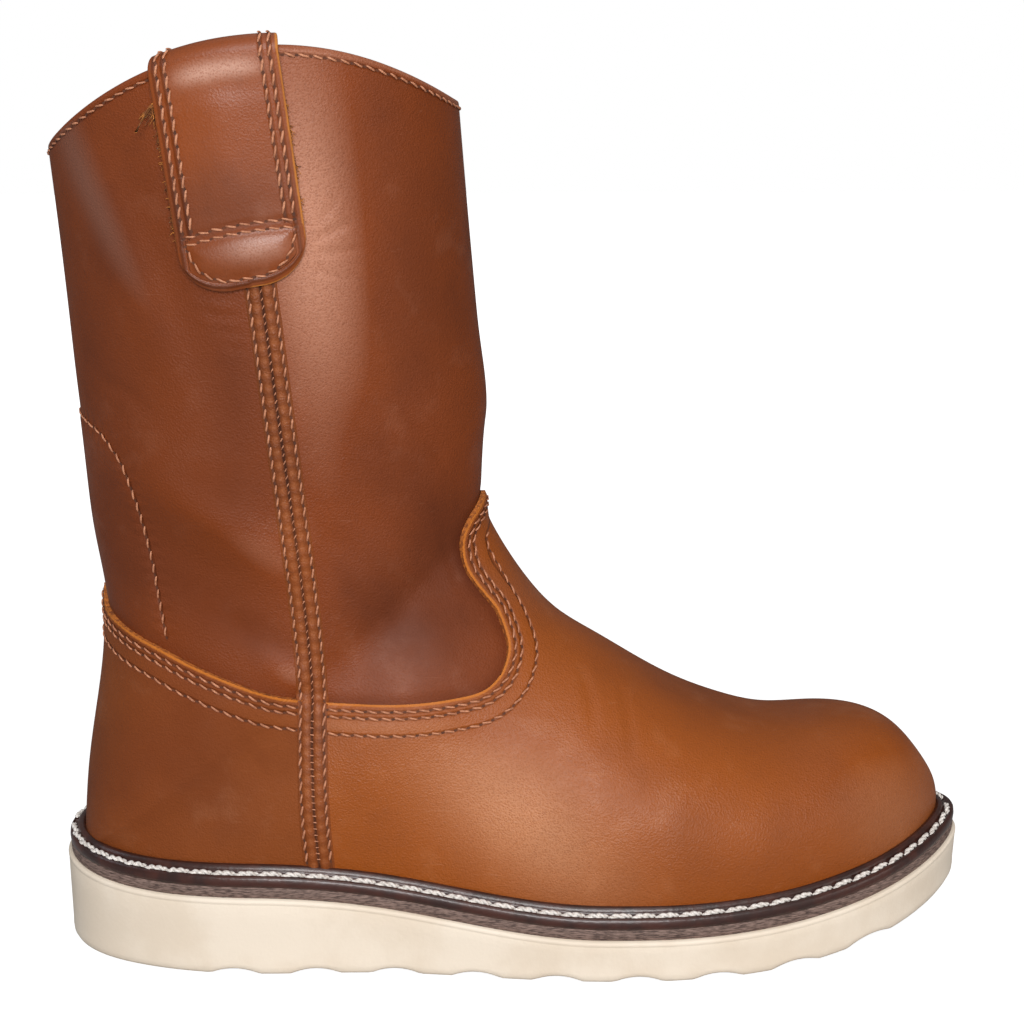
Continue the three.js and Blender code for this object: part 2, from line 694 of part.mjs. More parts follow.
function overlaySolid(edgeTable, endX) {
  const edge = sideLine(edgeTable, 40);
  const last = edge[edge.length - 1];
  const shape = new THREE.Shape([
    ...edge,
    new THREE.Vector2(last.x, -10),
    new THREE.Vector2(endX, -10),
    new THREE.Vector2(endX, edge[0].y),
  ]);
  const overlays = toSolid(shellGeometry(gap, overlayStack));
  const cut = sidePrism(shape, -broad / 2, broad / 2);
  const clear = sidePrism(seamShape(seamWidth / 2 + gap), -broad / 2, broad / 2);
  return overlays.intersect(cut).subtract(clear).subtract(belowSolid(seatPlane));
}

// The side seam is a strip on the leg that thickens to cover the edges of the vamp and the counter.
function seamSolid(side) {
  const strip = sidePrism(seamShape(seamWidth / 2), side < 0 ? -broad / 2 : 0, side < 0 ? 0 : broad / 2);
  const coverTop = legHeight * vampEdge[vampEdge.length - 1].up + seamWidth;
  const low = wasm.Manifold.cube([soleLength, broad, coverTop + 20]).translate([0, -broad / 2, -20]);
  const onLeg = toSolid(shellGeometry(gap, gap + seamThickness));
  const overEdges = toSolid(shellGeometry(gap, overlayStack + seamThickness)).intersect(low);
  const clear = belowSolid((x) => midsoleTop(x) + 2 * gap + weltThickness + beadHeight);
  return onLeg.add(overEdges).intersect(strip).subtract(clear).subtract(strapPrism(side));
}

const boot = new THREE.Group();
const leatherColour = 0x9a5528;
const footColour = 0xa8622d;

function addPiece(name, solid, colour, roughness) {
  const material = new THREE.MeshStandardMaterial({ color: colour, roughness, metalness: 0 });
  const mesh = new THREE.Mesh(toGeometry(solid), material);
  mesh.name = name;
  boot.add(mesh);
}

addPiece("outsole", outsoleSolid(), 0xeadcc6, 0.75);
addPiece("midsole", midsoleSolid(), 0x5b4a45, 0.8);
addPiece("welt", weltSolid(), 0x3a221c, 0.35);
addPiece("insole", insoleSolid(), 0xb08a5e, 0.85);
addPiece("upper", upperSolid(), leatherColour, 0.5);
addPiece("vamp", overlaySolid(vampEdge, soleLength + 20), footColour, 0.5);
addPiece("counter", overlaySolid(counterEdge, -20), footColour, 0.5);
addPiece("side_seam_outer", seamSolid(-1), leatherColour, 0.55);
addPiece("side_seam_inner", seamSolid(1), leatherColour, 0.55);
addPiece("pull_strap_outer", strapSolid(-1), leatherColour, 0.55);
addPiece("pull_strap_inner", strapSolid(1), leatherColour, 0.55);

// The part's origin is the middle of its bounding box, on the ground.
const extent = new THREE.Box3().setFromObject(boot);
const middle = extent.getCenter(new THREE.Vector3());
boot.position.set(-middle.x, -middle.y, -extent.min.z);

export default boot;
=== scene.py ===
import math
import bpy
import numpy as np
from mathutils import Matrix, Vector
from mathutils.kdtree import KDTree


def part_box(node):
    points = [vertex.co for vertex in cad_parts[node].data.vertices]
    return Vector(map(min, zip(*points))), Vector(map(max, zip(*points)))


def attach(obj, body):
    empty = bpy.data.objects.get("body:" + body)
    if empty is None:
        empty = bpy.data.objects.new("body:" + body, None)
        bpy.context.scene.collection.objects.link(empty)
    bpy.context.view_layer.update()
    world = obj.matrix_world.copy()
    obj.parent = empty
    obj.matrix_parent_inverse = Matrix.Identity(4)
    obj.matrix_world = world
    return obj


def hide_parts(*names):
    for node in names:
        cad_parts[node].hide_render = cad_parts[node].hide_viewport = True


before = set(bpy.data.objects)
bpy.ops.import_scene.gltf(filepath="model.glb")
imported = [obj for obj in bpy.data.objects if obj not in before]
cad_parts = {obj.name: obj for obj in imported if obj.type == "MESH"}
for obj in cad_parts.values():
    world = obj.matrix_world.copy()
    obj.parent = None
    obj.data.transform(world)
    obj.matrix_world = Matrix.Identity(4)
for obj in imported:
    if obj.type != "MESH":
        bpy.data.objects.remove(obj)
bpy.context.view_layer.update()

# sizes of the boot in millimetres, x from the heel tip to the toe, z up from the ground
sole = {"length": 310, "ballOuterHalf": 59, "ballInnerHalf": 51, "heelHalf": 42, "heelThickness": 27,
        "ballThickness": 14.8, "seatRise": 3.2, "toeSpring": 17.2, "footSpring": 16, "wedgeStart": 66,
        "wedgeEnd": 181, "springStart": 205, "footSpringStart": 214}
layers = {"gap": 0.3, "midsoleInset": 1.2, "midsoleThickness": 4, "weltThickness": 3, "weltReach": 6.2,
          "heelWeltReach": 5, "wall": 2.4, "overlay": 1.8}
leg = {"instepHeight": 54, "height": 280, "length": 130.7, "half": 54, "scallop": 23, "innerScallop": 19.5,
       "collarBack": 5.6}
planTable = {  # half breadths of the outsole at even turns from heel tip to toe tip
    "ball": [0, 0, 0, 0.1, 0.4, 0.75, 1, 1, 1, 1, 1],
    "outer": [0, 0.536, 0.91, 1.064, 0.982, 1.012, 0.997, 0.886, 0.649, 0.314, 0],
    "inner": [0, 0.524, 0.857, 0.874, 0.757, 0.759, 0.931, 1.0, 0.804, 0.402, 0]}
footTable = {  # sections across the foot, from the toe tip back to the heel
    "seat": [1.0, 0.95, 0.9, 0.85, 0.8, 0.75, 0.7, 0.65, 0.6, 0.55, 0.5, 0.43, 0.35, 0.25, 0.14, 0.0],
    "ridge": [0.9719, 0.9661, 0.9494, 0.9219, 0.8839, 0.837, 0.784, 0.729, 0.6758, 0.6274, 0.5839, 0.5419,
              0.5081, 0.4823, 0.4665, 0.4613],
    "rise": [0.1, 0.265, 0.457, 0.672, 0.815, 0.88, 0.918, 1.03, 1.176, 1.34, 1.498, 1.648, 1.839, 2.041,
             2.193, 2.359],
    "outer": [0, 0, 0, 0, 0, 0, 0.2, 0.5, 0.68, 0.77, 0.83, 0.86, 0.87, 0.87, 0.875, 0.89],
    "inner": [0, 0, 0, 0, 0, 0, 0.2, 0.5, 0.7, 0.79, 0.83, 0.84, 0.85, 0.85, 0.87, 0.88],
    "widest": [0.42, 0.4, 0.36, 0.32, 0.3, 0.28, 0.26, 0.25, 0.26, 0.28, 0.31, 0.34, 0.37, 0.4, 0.42, 0.44],
    "crown": [2.3, 2.3, 2.3, 2.3, 2.3, 2.3, 2.25, 2.2, 2.1, 2.0, 1.95, 1.95, 1.95, 2.0, 2.0, 2.0],
    "foot": [2.0, 2.0, 2.0, 2.0, 2.0, 2.0, 2.0, 2.0, 2.0, 2.0, 2.0, 2.0, 2.05, 2.1, 2.25, 2.35]}
legTable = {  # ovals of the leg, from the ankle up to the collar
    "back": [0.22, 0.32, 0.418, 0.518, 0.629, 0.736, 0.843, 0.95],
    "front": [0.612, 0.648, 0.687, 0.738, 0.796, 0.861, 0.929, 1.0],
    "heel": [-0.04, -0.077, -0.094, -0.066, -0.05, -0.034, -0.018, 0.0],
    "shin": [0.058, 0.066, 0.062, 0.048, 0.036, 0.024, 0.012, 0.0],
    "breadth": [0.69, 0.705, 0.745, 0.8, 0.86, 0.915, 0.96, 1.0],
    "widest": [0.455, 0.47, 0.48, 0.49, 0.5, 0.5, 0.5, 0.5],
    "power": [2.3, 2.25, 2.2, 2.15, 2.1, 2.1, 2.1, 2.1]}
# panel edges in the side view: shares of the sole's length and the leg's height
vampEdge = [(0.446, 0.522), (0.438, 0.504), (0.437, 0.484), (0.443, 0.461), (0.459, 0.436), (0.472, 0.418),
            (0.48, 0.398), (0.485, 0.378), (0.483, 0.362), (0.475, 0.345), (0.456, 0.331), (0.42, 0.325),
            (0.38, 0.322), (0.336, 0.322), (0.28, 0.325)]
counterEdge = [(0.062, 0.417), (0.088, 0.403), (0.127, 0.386), (0.16, 0.369), (0.194, 0.353), (0.235, 0.336),
               (0.28, 0.326)]
seamLine = [(0.226, 0.96), (0.241, 0.812), (0.255, 0.656), (0.265, 0.545), (0.275, 0.429), (0.28, 0.34),
            (0.281, 0.2), (0.285, 0.122)]
tongueTip = 15.15  # row at which the vamp's edge crosses the ridge
counterTop = 3.2  # rows above the heel at which the counter's edge crosses the back line

rng = np.random.default_rng(7)


def ease(v, start, end):
    t = np.clip((v - start) / (end - start), 0, 1)
    return t * t * (3 - 2 * t)


def smoothThrough(values):  # natural cubic spline through evenly spaced values
    v = np.asarray(values, float)
    count = len(v)
    matrix, right = np.eye(count), np.zeros(count)
    for i in range(1, count - 1):
        matrix[i, i - 1:i + 2] = 1, 4, 1
        right[i] = 3 * (v[i + 1] - 2 * v[i] + v[i - 1])
    bend = np.linalg.solve(matrix, right)

    def curve(at):
        i = np.clip(np.floor(at).astype(int), 0, count - 2)
        f = at - i
        slope = v[i + 1] - v[i] - (2 * bend[i] + bend[i + 1]) / 3
        return v[i] + f * (slope + f * (bend[i] + f * (bend[i + 1] - bend[i]) / 3))
    return curve


planCurve = {name: smoothThrough(column) for name, column in planTable.items()}


def toeLift(x):
    reach = sole["length"] - sole["springStart"]
    return sole["toeSpring"] * np.maximum(0, (x - sole["springStart"]) / reach) ** 2


def footLift(x):
    reach = sole["length"] - sole["footSpringStart"]
    return sole["footSpring"] * np.maximum(0, (x - sole["footSpringStart"]) / reach) ** 2


def soleTop(x):
    thin = ease(x, sole["wedgeStart"], sole["wedgeEnd"])
    cup = sole["seatRise"] * np.clip(1 - x / sole["heelHalf"], 0, 1) ** 2
    return sole["heelThickness"] + (sole["ballThickness"] - sole["heelThickness"]) * thin + cup + toeLift(x)


def midsoleTop(x):
    return soleTop(x) + layers["gap"] + layers["midsoleThickness"]


def seatPlane(x):
    return midsoleTop(x) + layers["gap"]


def planPoint(turn, side):
    at = turn * (len(planTable["ball"]) - 1)
    ballHalf = sole["ballOuterHalf"] if side < 0 else sole["ballInnerHalf"]
    share = planCurve["outer" if side < 0 else "inner"](at)
    mix = np.clip(planCurve["ball"](at), 0, 1)
    half = np.maximum(0, share * (sole["heelHalf"] + (ballHalf - sole["heelHalf"]) * mix))
    return sole["length"] * (1 - np.cos(np.pi * turn)) / 2, side * half


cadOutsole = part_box("outsole")
cadReach = -planPoint(np.linspace(0, 1, 25), -1)[1].min()
origin = np.array([cadOutsole[0][0], cadOutsole[0][1] + cadReach / 1000, cadOutsole[0][2]])


def insetPoint(turn, side, inset):
    step = 0.004
    x0, y0 = planPoint(np.clip(turn - step, 0, 1), side)
    x1, y1 = planPoint(np.clip(turn + step, 0, 1), side)
    run = np.hypot(x1 - x0, y1 - y0)
    x, y = planPoint(turn, side)
    x = x + inset * side * (y1 - y0) / run
    y = y - inset * side * (x1 - x0) / run
    return x, np.where((turn <= 0) | (turn >= 1), 0, y)


def weltInset(x):
    wider = (layers["weltReach"] - layers["heelWeltReach"]) * ease(x, 0, sole["wedgeStart"])
    return layers["midsoleInset"] + (layers["heelWeltReach"] + wider)


overlayStack = layers["gap"] + layers["overlay"]


def seatPoint(turn, side):
    x, y = insetPoint(turn, side, weltInset(planPoint(turn, side)[0]) + overlayStack)
    return x, y, seatPlane(x)


heelRow = len(footTable["seat"]) - 1
legCount = len(legTable["back"])
collarRow = heelRow + legCount
ridgeX = np.array(footTable["ridge"]) * sole["length"]
legX = leg["collarBack"] + (1 + np.array(legTable["shin"])) * leg["length"]
legHalves = np.array(legTable["breadth"]) * leg["half"]
rowCurve = {name: smoothThrough(np.concatenate([foot, upper])) for name, foot, upper in (
    ("seat", np.array(footTable["seat"]), np.zeros(legCount)),
    ("ridgeX", ridgeX, legX),
    ("ridgeZ", seatPlane(ridgeX) + np.array(footTable["rise"]) * leg["instepHeight"],
     np.array(legTable["front"]) * leg["height"]),
    ("outer", np.array(footTable["outer"]) * sole["heelHalf"], legHalves),
    ("inner", np.array(footTable["inner"]) * sole["heelHalf"], legHalves),
    ("widest", footTable["widest"], legTable["widest"]),
    ("crown", footTable["crown"], legTable["power"]),
    ("foot", footTable["foot"], legTable["power"]))}
heelTip = [float(v) for v in seatPoint(np.array(0.0), 1)]
backX = smoothThrough([heelTip[0]] + [leg["collarBack"] - h * leg["length"] for h in legTable["heel"]])
backZ = smoothThrough([heelTip[2]] + [b * leg["height"] for b in legTable["back"]])
flare, blend = 1.05, 8


def skinPoint(at, turn, side):  # the leather's outer face, as in the part
    at, turn = np.broadcast_arrays(np.asarray(at, float), np.asarray(turn, float))
    lastSeat = footTable["seat"][heelRow - 1]
    seatTurn = np.where(at < heelRow - 1, rowCurve["seat"](at), lastSeat * np.maximum(0, heelRow - at))
    seat = seatPoint(np.clip(seatTurn, 0, 1), side)
    isFoot = at < heelRow
    up = np.maximum(at - heelRow, 0)
    start = np.stack([np.where(isFoot, seat[0], backX(up)), np.where(isFoot, seat[1], 0),
                      np.where(isFoot, seat[2], backZ(up))], -1)
    top = np.stack([rowCurve["ridgeX"](at), np.zeros_like(at), rowCurve["ridgeZ"](at)], -1)
    seatHalf = np.abs(start[..., 1])
    least = np.maximum(0, rowCurve["outer" if side < 0 else "inner"](at))
    half = ((seatHalf * flare) ** blend + least ** blend) ** (1 / blend)
    share = np.where(half > 1e-6, seatHalf / np.maximum(half, 1e-6), 1 / flare)
    lower, upper = 2 / rowCurve["foot"](at), 2 / rowCurve["crown"](at)
    first = np.arcsin(np.clip(share, 0, 1) ** (1 / lower))
    angle = first + (np.pi - first) * turn
    cosine, sine = np.cos(angle), np.maximum(np.sin(angle), 0)
    widest = rowCurve["widest"](at)
    below = cosine > 0
    near = np.clip(np.abs(cosine), 1e-9, 1)
    reach = np.where(below, widest * (1 - (near / np.cos(first)) ** lower),
                     widest + (1 - widest) * near ** upper)
    point = start + (top - start) * reach[..., None]
    point[..., 1] = side * half * sine ** np.where(below, lower, upper)
    scallop = leg["scallop"] if side < 0 else leg["innerScallop"]
    point[..., 2] += scallop * ease(at, collarRow - 4, collarRow) * sine ** 2
    return point


def skinAt(at, across):  # across runs from -1, the outer seat, over the ridge at 0 to 1, the inner seat
    turn = 1 - np.abs(across)
    return np.where((across <= 0)[..., None], skinPoint(at, turn, -1), skinPoint(at, turn, 1))


def unit(vectors):
    return vectors / np.maximum(np.linalg.norm(vectors, axis=-1, keepdims=True), 1e-12)


def gridNormals(points, at):  # outward, and the same on both sides where a section's two ends meet
    normal = unit(np.cross(np.gradient(points, axis=1), np.gradient(points, axis=0)))
    closed = at[:, 0] >= heelRow - 1e-6
    ends = normal[closed, 0] + normal[closed, -1]
    ends[:, 1] = 0
    normal[closed, 0] = normal[closed, -1] = unit(ends)
    if at[0, 0] < 0.01:
        tip = normal[0] + normal[0, ::-1]
        tip[:, 1] = 0
        normal[0] = unit(tip)
    return normal


# small steps on the skin, in rows and in turns, for normals and for searches, and the farthest a search may go
probe = {"row": 0.02, "turn": 0.004}
slide = {"row": 0.01, "turn": 0.002, "farRow": 0.6, "farTurn": 0.06, "sideFarRow": 0.3, "sideFarTurn": 0.03}


def normalAt(at, across):
    row, turn = probe["row"], probe["turn"]
    u = skinAt(at, np.clip(across + turn, -1, 1)) - skinAt(at, np.clip(across - turn, -1, 1))
    v = skinAt(np.minimum(at + row, collarRow), across) - skinAt(np.maximum(at - row, 0), across)
    return unit(np.cross(u, v))


def within(value, far):
    return np.clip(value, -far, far)


def settle(points, at, across):  # slides places on the skin to lie nearest to the given points
    at, across = np.array(at, float), np.array(across, float)
    for _ in range(5):
        here = skinAt(at, across)
        da = (skinAt(at + slide["row"], across) - here) / slide["row"]
        dw = (skinAt(at, across + slide["turn"]) - here) / slide["turn"]
        miss = points - here
        aa, ww, aw = (da * da).sum(-1), (dw * dw).sum(-1), (da * dw).sum(-1)
        ma, mw = (miss * da).sum(-1), (miss * dw).sum(-1)
        det = aa * ww - aw * aw + 1e-9
        at = np.clip(at + within((ma * ww - mw * aw) / det, slide["farRow"]), 0, collarRow)
        across = np.clip(across + within((mw * aa - ma * aw) / det, slide["farTurn"]), -1, 1)
    return at, across


seekAt, seekAcross = np.meshgrid(np.linspace(4, collarRow, 240), np.linspace(-0.998, -0.02, 120), indexing="ij")
seekPoints = {side: skinAt(seekAt, -side * seekAcross).reshape(-1, 3) for side in (-1, 1)}


def placeSideView(spots, side=-1):  # finds places seen from the side, in mm, on one side of the skin
    flat = seekPoints[side][:, [0, 2]]
    best = [int(np.argmin(((flat - spot) ** 2).sum(1))) for spot in spots]
    at, across = seekAt.ravel()[best], -side * seekAcross.ravel()[best]
    for _ in range(6):
        here = skinAt(at, across)[:, [0, 2]]
        da = (skinAt(at + slide["row"], across)[:, [0, 2]] - here) / slide["row"]
        dw = (skinAt(at, across + side * slide["turn"])[:, [0, 2]] - here) / (side * slide["turn"])
        miss = spots - here
        det = da[:, 0] * dw[:, 1] - da[:, 1] * dw[:, 0]
        det = np.where(np.abs(det) < 1e-6, 1e-6, det)
        at = at + within((miss[:, 0] * dw[:, 1] - miss[:, 1] * dw[:, 0]) / det, slide["sideFarRow"])
        across = across + within((da[:, 0] * miss[:, 1] - da[:, 1] * miss[:, 0]) / det, slide["sideFarTurn"])
        at = np.clip(at, 0, collarRow)
        across = np.clip(across, -1, 0) if side < 0 else np.clip(across, 0, 1)
    return np.stack([at, across], 1)


def smoothPath(places):  # a Catmull-Rom curve through places
    places = np.asarray(places, float)
    padded = np.vstack([2 * places[0] - places[1], places, 2 * places[-1] - places[-2]])
    fine = []
    for i in range(len(places) - 1):
        p0, p1, p2, p3 = padded[i:i + 4]
        t = np.linspace(0, 1, 24, endpoint=False)[:, None]
        fine.append(0.5 * (2 * p1 + (p2 - p0) * t + (2 * p0 - 5 * p1 + 4 * p2 - p3) * t ** 2
                           + (3 * p1 - p0 - 3 * p2 + p3) * t ** 3))
    return np.vstack(fine + [places[-1:]])


def runLength(points):
    return np.concatenate([[0], np.cumsum(np.linalg.norm(np.diff(points, axis=0), axis=1))])


def evenly(rows, where, pitch):  # resamples the rows of a table so that the points in where lie a pitch apart
    run = runLength(where)
    at = np.linspace(0, run[-1], max(2, int(round(run[-1] / pitch)) + 1))
    return np.stack([np.interp(at, run, rows[:, k]) for k in range(rows.shape[1])], 1)


def sideCurve(spots, side=-1, before=()):  # a smooth line in the side view, laid on the skin
    line = smoothPath(np.array(spots) * [sole["length"], leg["height"]])
    places = placeSideView(evenly(line, line, 0.4), side)
    places = np.vstack([*[[p] for p in before], places])
    return evenly(places, skinAt(places[:, 0], places[:, 1]), 0.5)


vampPath = sideCurve(vampEdge, before=[(tongueTip, 0.0)])
counterPath = sideCurve(counterEdge, before=[(heelRow + counterTop, -1.0)])
seamPath = sideCurve(seamLine)
print("panel edges placed on the skin")


def pathDistance(points, line):  # how far each point lies from a line, and how far along the line that is
    tree = KDTree(len(line))
    for i, p in enumerate(line):
        tree.insert(p, i)
    tree.balance()
    nearest = np.array([tree.find(p)[1] for p in points])
    best, along = np.full(len(points), np.inf), np.zeros(len(points))
    run = runLength(line)
    for shift in (-1, 0):
        i = np.clip(nearest + shift, 0, len(line) - 2)
        a, b = line[i], line[i + 1]
        t = np.clip(((points - a) * (b - a)).sum(1) / np.maximum(((b - a) ** 2).sum(1), 1e-12), 0, 1)
        far = np.linalg.norm(points - a - (b - a) * t[:, None], axis=1)
        along = np.where(far < best, run[i] + t * (run[i + 1] - run[i]), along)
        best = np.minimum(best, far)
    return best, along


def insideOutline(at, across, outline):
    inside = np.zeros(at.shape, bool)
    for (a0, w0), (a1, w1) in zip(outline, np.roll(outline, -1, axis=0)):
        if w0 == w1:
            continue
        crosses = (w0 > across) != (w1 > across)
        inside ^= crosses & (at < (a1 - a0) * (across - w0) / (w1 - w0) + a0)
    return inside


meeting = np.argmin(np.linalg.norm(skinAt(*seamPath.T) - skinAt(*vampPath[-1:].T), axis=1))
lowSeam = seamPath[meeting:]
seamFoot = lowSeam[-1][0]
vampOutline = np.vstack([vampPath, lowSeam, [[seamFoot, -1.01], [-1, -1.01], [-1, 0.01], [tongueTip, 0.01]]])
counterOutline = np.vstack([counterPath, lowSeam, [[seamFoot, -1.01], [heelRow + counterTop, -1.01]]])


def edgeField(at, across, points, edges):  # distance to the nearest edge on the same side, and the run along it
    distance, along = np.full(at.size, np.inf), np.zeros(at.size)
    flat, acrossFlat = points.reshape(-1, 3), across.ravel()
    for side in (-1, 1):
        own = acrossFlat > 0 if side > 0 else acrossFlat <= 0
        for edge in edges if own.any() else ():
            near, run = pathDistance(flat[own], skinAt(edge[:, 0], -side * edge[:, 1]))
            along[own] = np.where(near < distance[own], run, along[own])
            distance[own] = np.minimum(distance[own], near)
    return distance.reshape(at.shape), along.reshape(at.shape)


def evenRows(first, final, pitch):
    fine = np.linspace(first, final, 800)
    return evenly(fine[:, None], skinAt(fine, 0 * fine - 0.5), pitch)[:, 0]


def addNode(tree, kind, sockets=None, **settings):
    node = tree.nodes.new("ShaderNode" + kind)
    for key, value in settings.items():
        setattr(node, key, value)
    for key, value in (sockets or {}).items():
        if isinstance(value, bpy.types.NodeSocket):
            tree.links.new(value, node.inputs[key])
        else:
            node.inputs[key].default_value = value
    return node


def math2(tree, operation, a, b=0.0, clamp=False):
    return addNode(tree, "Math", {0: a, 1: b}, operation=operation, use_clamp=clamp).outputs[0]


def fade(tree, value, start, end, low=0.0, high=1.0):
    node = addNode(tree, "MapRange", {"Value": value, "From Min": start, "From Max": end, "To Min": low,
                                      "To Max": high}, interpolation_type="SMOOTHSTEP")
    return node.outputs[0]


def mixColour(tree, amount, a, b):
    node = addNode(tree, "Mix", data_type="RGBA")
    for key, value in ((0, amount), (6, a), (7, b)):
        if isinstance(value, bpy.types.NodeSocket):
            tree.links.new(value, node.inputs[key])
        else:
            node.inputs[key].default_value = value
    return node.outputs[2]


def noise(tree, where, scale, detail=3.0, roughness=0.55):
    return addNode(tree, "TexNoise", {"Vector": where, "Scale": scale, "Detail": detail,
                                      "Roughness": roughness}).outputs["Fac"]


def colour(red, green, blue):  # a colour read as 0 to 255 on a screen, as linear light
    def linear(v):
        v = v / 255
        return v / 12.92 if v < 0.04045 else ((v + 0.055) / 1.055) ** 2.4
    return (linear(red), linear(green), linear(blue), 1.0)


def newGroup(name, inputs, outputs):
    group = bpy.data.node_groups.new(name, "ShaderNodeTree")
    kinds = {"colour": "NodeSocketColor", "value": "NodeSocketFloat"}
    for label, kind in inputs:
        group.interface.new_socket(label, in_out="INPUT", socket_type=kinds[kind])
    for label, kind in outputs:
        group.interface.new_socket(label, in_out="OUTPUT", socket_type=kinds[kind])
    return group, group.nodes.new("NodeGroupInput").outputs, group.nodes.new("NodeGroupOutput").inputs


stitchPitch = 4.2  # mm
# waxed leather: scales of its textures; each range is where an effect starts and ends, then its values there
waxed = {"cloudScale": 16.0, "patchScale": 62.0, "speckScale": 1300.0, "poreScale": 1500.0,
         "streakTurn": (0.3, 0.9, 0.2), "streakStretch": (30.0, 260.0, 900.0),
         "rowWidth": (0.95, 0.1), "rowTroughShade": 0.5, "rowDepth": 1.6,
         "cloudShade": (0.4, 0.68, 0.0, 0.3), "patchShade": (0.5, 0.78, 0.0, 0.14),
         "patchLight": (0.46, 0.28, 0.0, 0.06), "poreSheen": (0.15, 0.55, 0.68, 1.2),
         "speckShade": (0.5, 0.74, 0.0, 0.22), "streakLight": (0.68, 0.8, 0.0, 0.12),
         "coolReflection": colour(116, 74, 58), "warmth": colour(112, 47, 0),
         "rawPatch": 0.8, "rawWidth": (1.5, 0.85), "rawRough": 0.2, "patchRough": (0.3, 0.7, -0.05, 0.08),
         "dullness": 0.5, "poreDepth": 0.7, "speckDepth": 0.8, "streakDepth": (0.68, 0.8, 0.0, 0.25),
         "puckerIn": (1.2, 2.6), "puckerOut": (6.4, 4.4), "puckerDepth": 0.45}
# its group: a mottled colour, painted highlights and painted shade by place, painted shade in the stitch rows, a
# painted cool reflection, a burnt raw edge, pores and hair-fine scratches
leatherGroup, given, made = newGroup(
    "Waxed leather",
    [("Base", "colour"), ("Dark", "colour"), ("Light", "colour"), ("Raw", "colour"), ("Tone", "value"),
     ("Edge", "value"), ("Grain", "value"), ("Gloss", "value"), ("Rawness", "value"), ("First row", "value"),
     ("Second row", "value"), ("Third row", "value"), ("Cool", "value"), ("Run", "value")],
    [("Color", "colour"), ("Roughness", "value"), ("Height", "value")])


def worked(operation, a, b=0.0, clamp=False):  # a sum inside the leather's group
    return math2(leatherGroup, operation, a, b, clamp)


def ranged(value, effect):
    return fade(leatherGroup, value, *waxed[effect])


def tinted(amount, under, over):
    return mixColour(leatherGroup, amount, under, over)


where = addNode(leatherGroup, "TexCoord").outputs["Object"]
cloud = noise(leatherGroup, where, waxed["cloudScale"], 4.0)
patch = noise(leatherGroup, where, waxed["patchScale"], 5.0, 0.6)
speck = noise(leatherGroup, where, waxed["speckScale"], 3.0, 0.6)
pores = addNode(leatherGroup, "TexVoronoi", {"Vector": where, "Scale": waxed["poreScale"]}).outputs["Distance"]
streakPlace = addNode(leatherGroup, "Mapping", {"Vector": where, "Rotation": waxed["streakTurn"],
                                                "Scale": waxed["streakStretch"]}).outputs[0]
streak = noise(leatherGroup, streakPlace, 1.0, 3.0)
rows = None
for key in ("First row", "Second row", "Third row"):
    row = ranged(worked("ABSOLUTE", worked("SUBTRACT", given["Edge"], given[key])), "rowWidth")
    rows = row if rows is None else worked("MAXIMUM", rows, row)
# Tone above zero paints highlights in the Light colour, with the pores showing through them; below zero it paints
# shade in the Dark colour and dulls the surface
paler, darker = worked("MAXIMUM", given["Tone"], 0.0), worked("MINIMUM", given["Tone"], 0.0)
darkness = worked("ADD", ranged(cloud, "cloudShade"), ranged(patch, "patchShade"))
# painted shade in the troughs of the stitch rows
darkness = worked("ADD", darkness, worked("MULTIPLY", rows, waxed["rowTroughShade"]))
darkness = worked("SUBTRACT", darkness, darker, True)
lightness = worked("MULTIPLY", paler, ranged(pores, "poreSheen"))
lightness = worked("ADD", lightness, ranged(patch, "patchLight"), True)
rawness = worked("ADD", given["Edge"], worked("MULTIPLY", patch, waxed["rawPatch"]))
rawness = worked("MULTIPLY", ranged(rawness, "rawWidth"), given["Rawness"])
skinTone = tinted(darkness, given["Base"], given["Dark"])
skinTone = tinted(lightness, skinTone, given["Light"])
skinTone = tinted(ranged(speck, "speckShade"), skinTone, given["Dark"])
skinTone = tinted(ranged(streak, "streakLight"), skinTone, given["Light"])
# painted cool reflection where Cool is above zero, a warmer tint of the leather where it is below
skinTone = tinted(worked("MAXIMUM", given["Cool"], 0.0), skinTone, waxed["coolReflection"])
skinTone = tinted(worked("MULTIPLY", worked("MINIMUM", given["Cool"], 0.0), -1.0), skinTone, waxed["warmth"])
skinTone = tinted(rawness, skinTone, given["Raw"])
rough = worked("ADD", given["Gloss"], ranged(patch, "patchRough"))
rough = worked("ADD", rough, worked("MULTIPLY", rawness, waxed["rawRough"]))
rough = worked("SUBTRACT", rough, worked("MULTIPLY", darker, waxed["dullness"]))
grain = worked("MULTIPLY", pores, waxed["poreDepth"])
grain = worked("ADD", grain, worked("MULTIPLY", speck, waxed["speckDepth"]))
bumps = worked("SUBTRACT", worked("MULTIPLY", grain, given["Grain"]), ranged(streak, "streakDepth"))
bumps = worked("SUBTRACT", bumps, worked("MULTIPLY", rows, waxed["rowDepth"]))
pucker = worked("SINE", worked("MULTIPLY", given["Run"], 2 * math.pi / stitchPitch))
nearRows = worked("MULTIPLY", ranged(given["Edge"], "puckerIn"), ranged(given["Edge"], "puckerOut"))
pucker = worked("MULTIPLY", worked("MULTIPLY", pucker, nearRows), waxed["puckerDepth"])
for socket, value in (("Color", skinTone), ("Roughness", rough), ("Height", worked("ADD", bumps, pucker))):
    leatherGroup.links.new(value, made[socket])


def newMaterial(name, **values):
    material = bpy.data.materials.new(name)
    material.use_nodes = True
    tree = material.node_tree
    shader = tree.nodes["Principled BSDF"]
    for key, value in values.items():
        shader.inputs[key.replace("_", " ")].default_value = value
    return material, tree, shader


edgeRows = (2.3, 4.5, 10.0)  # stitch rows along the panel edges, in mm from the edge


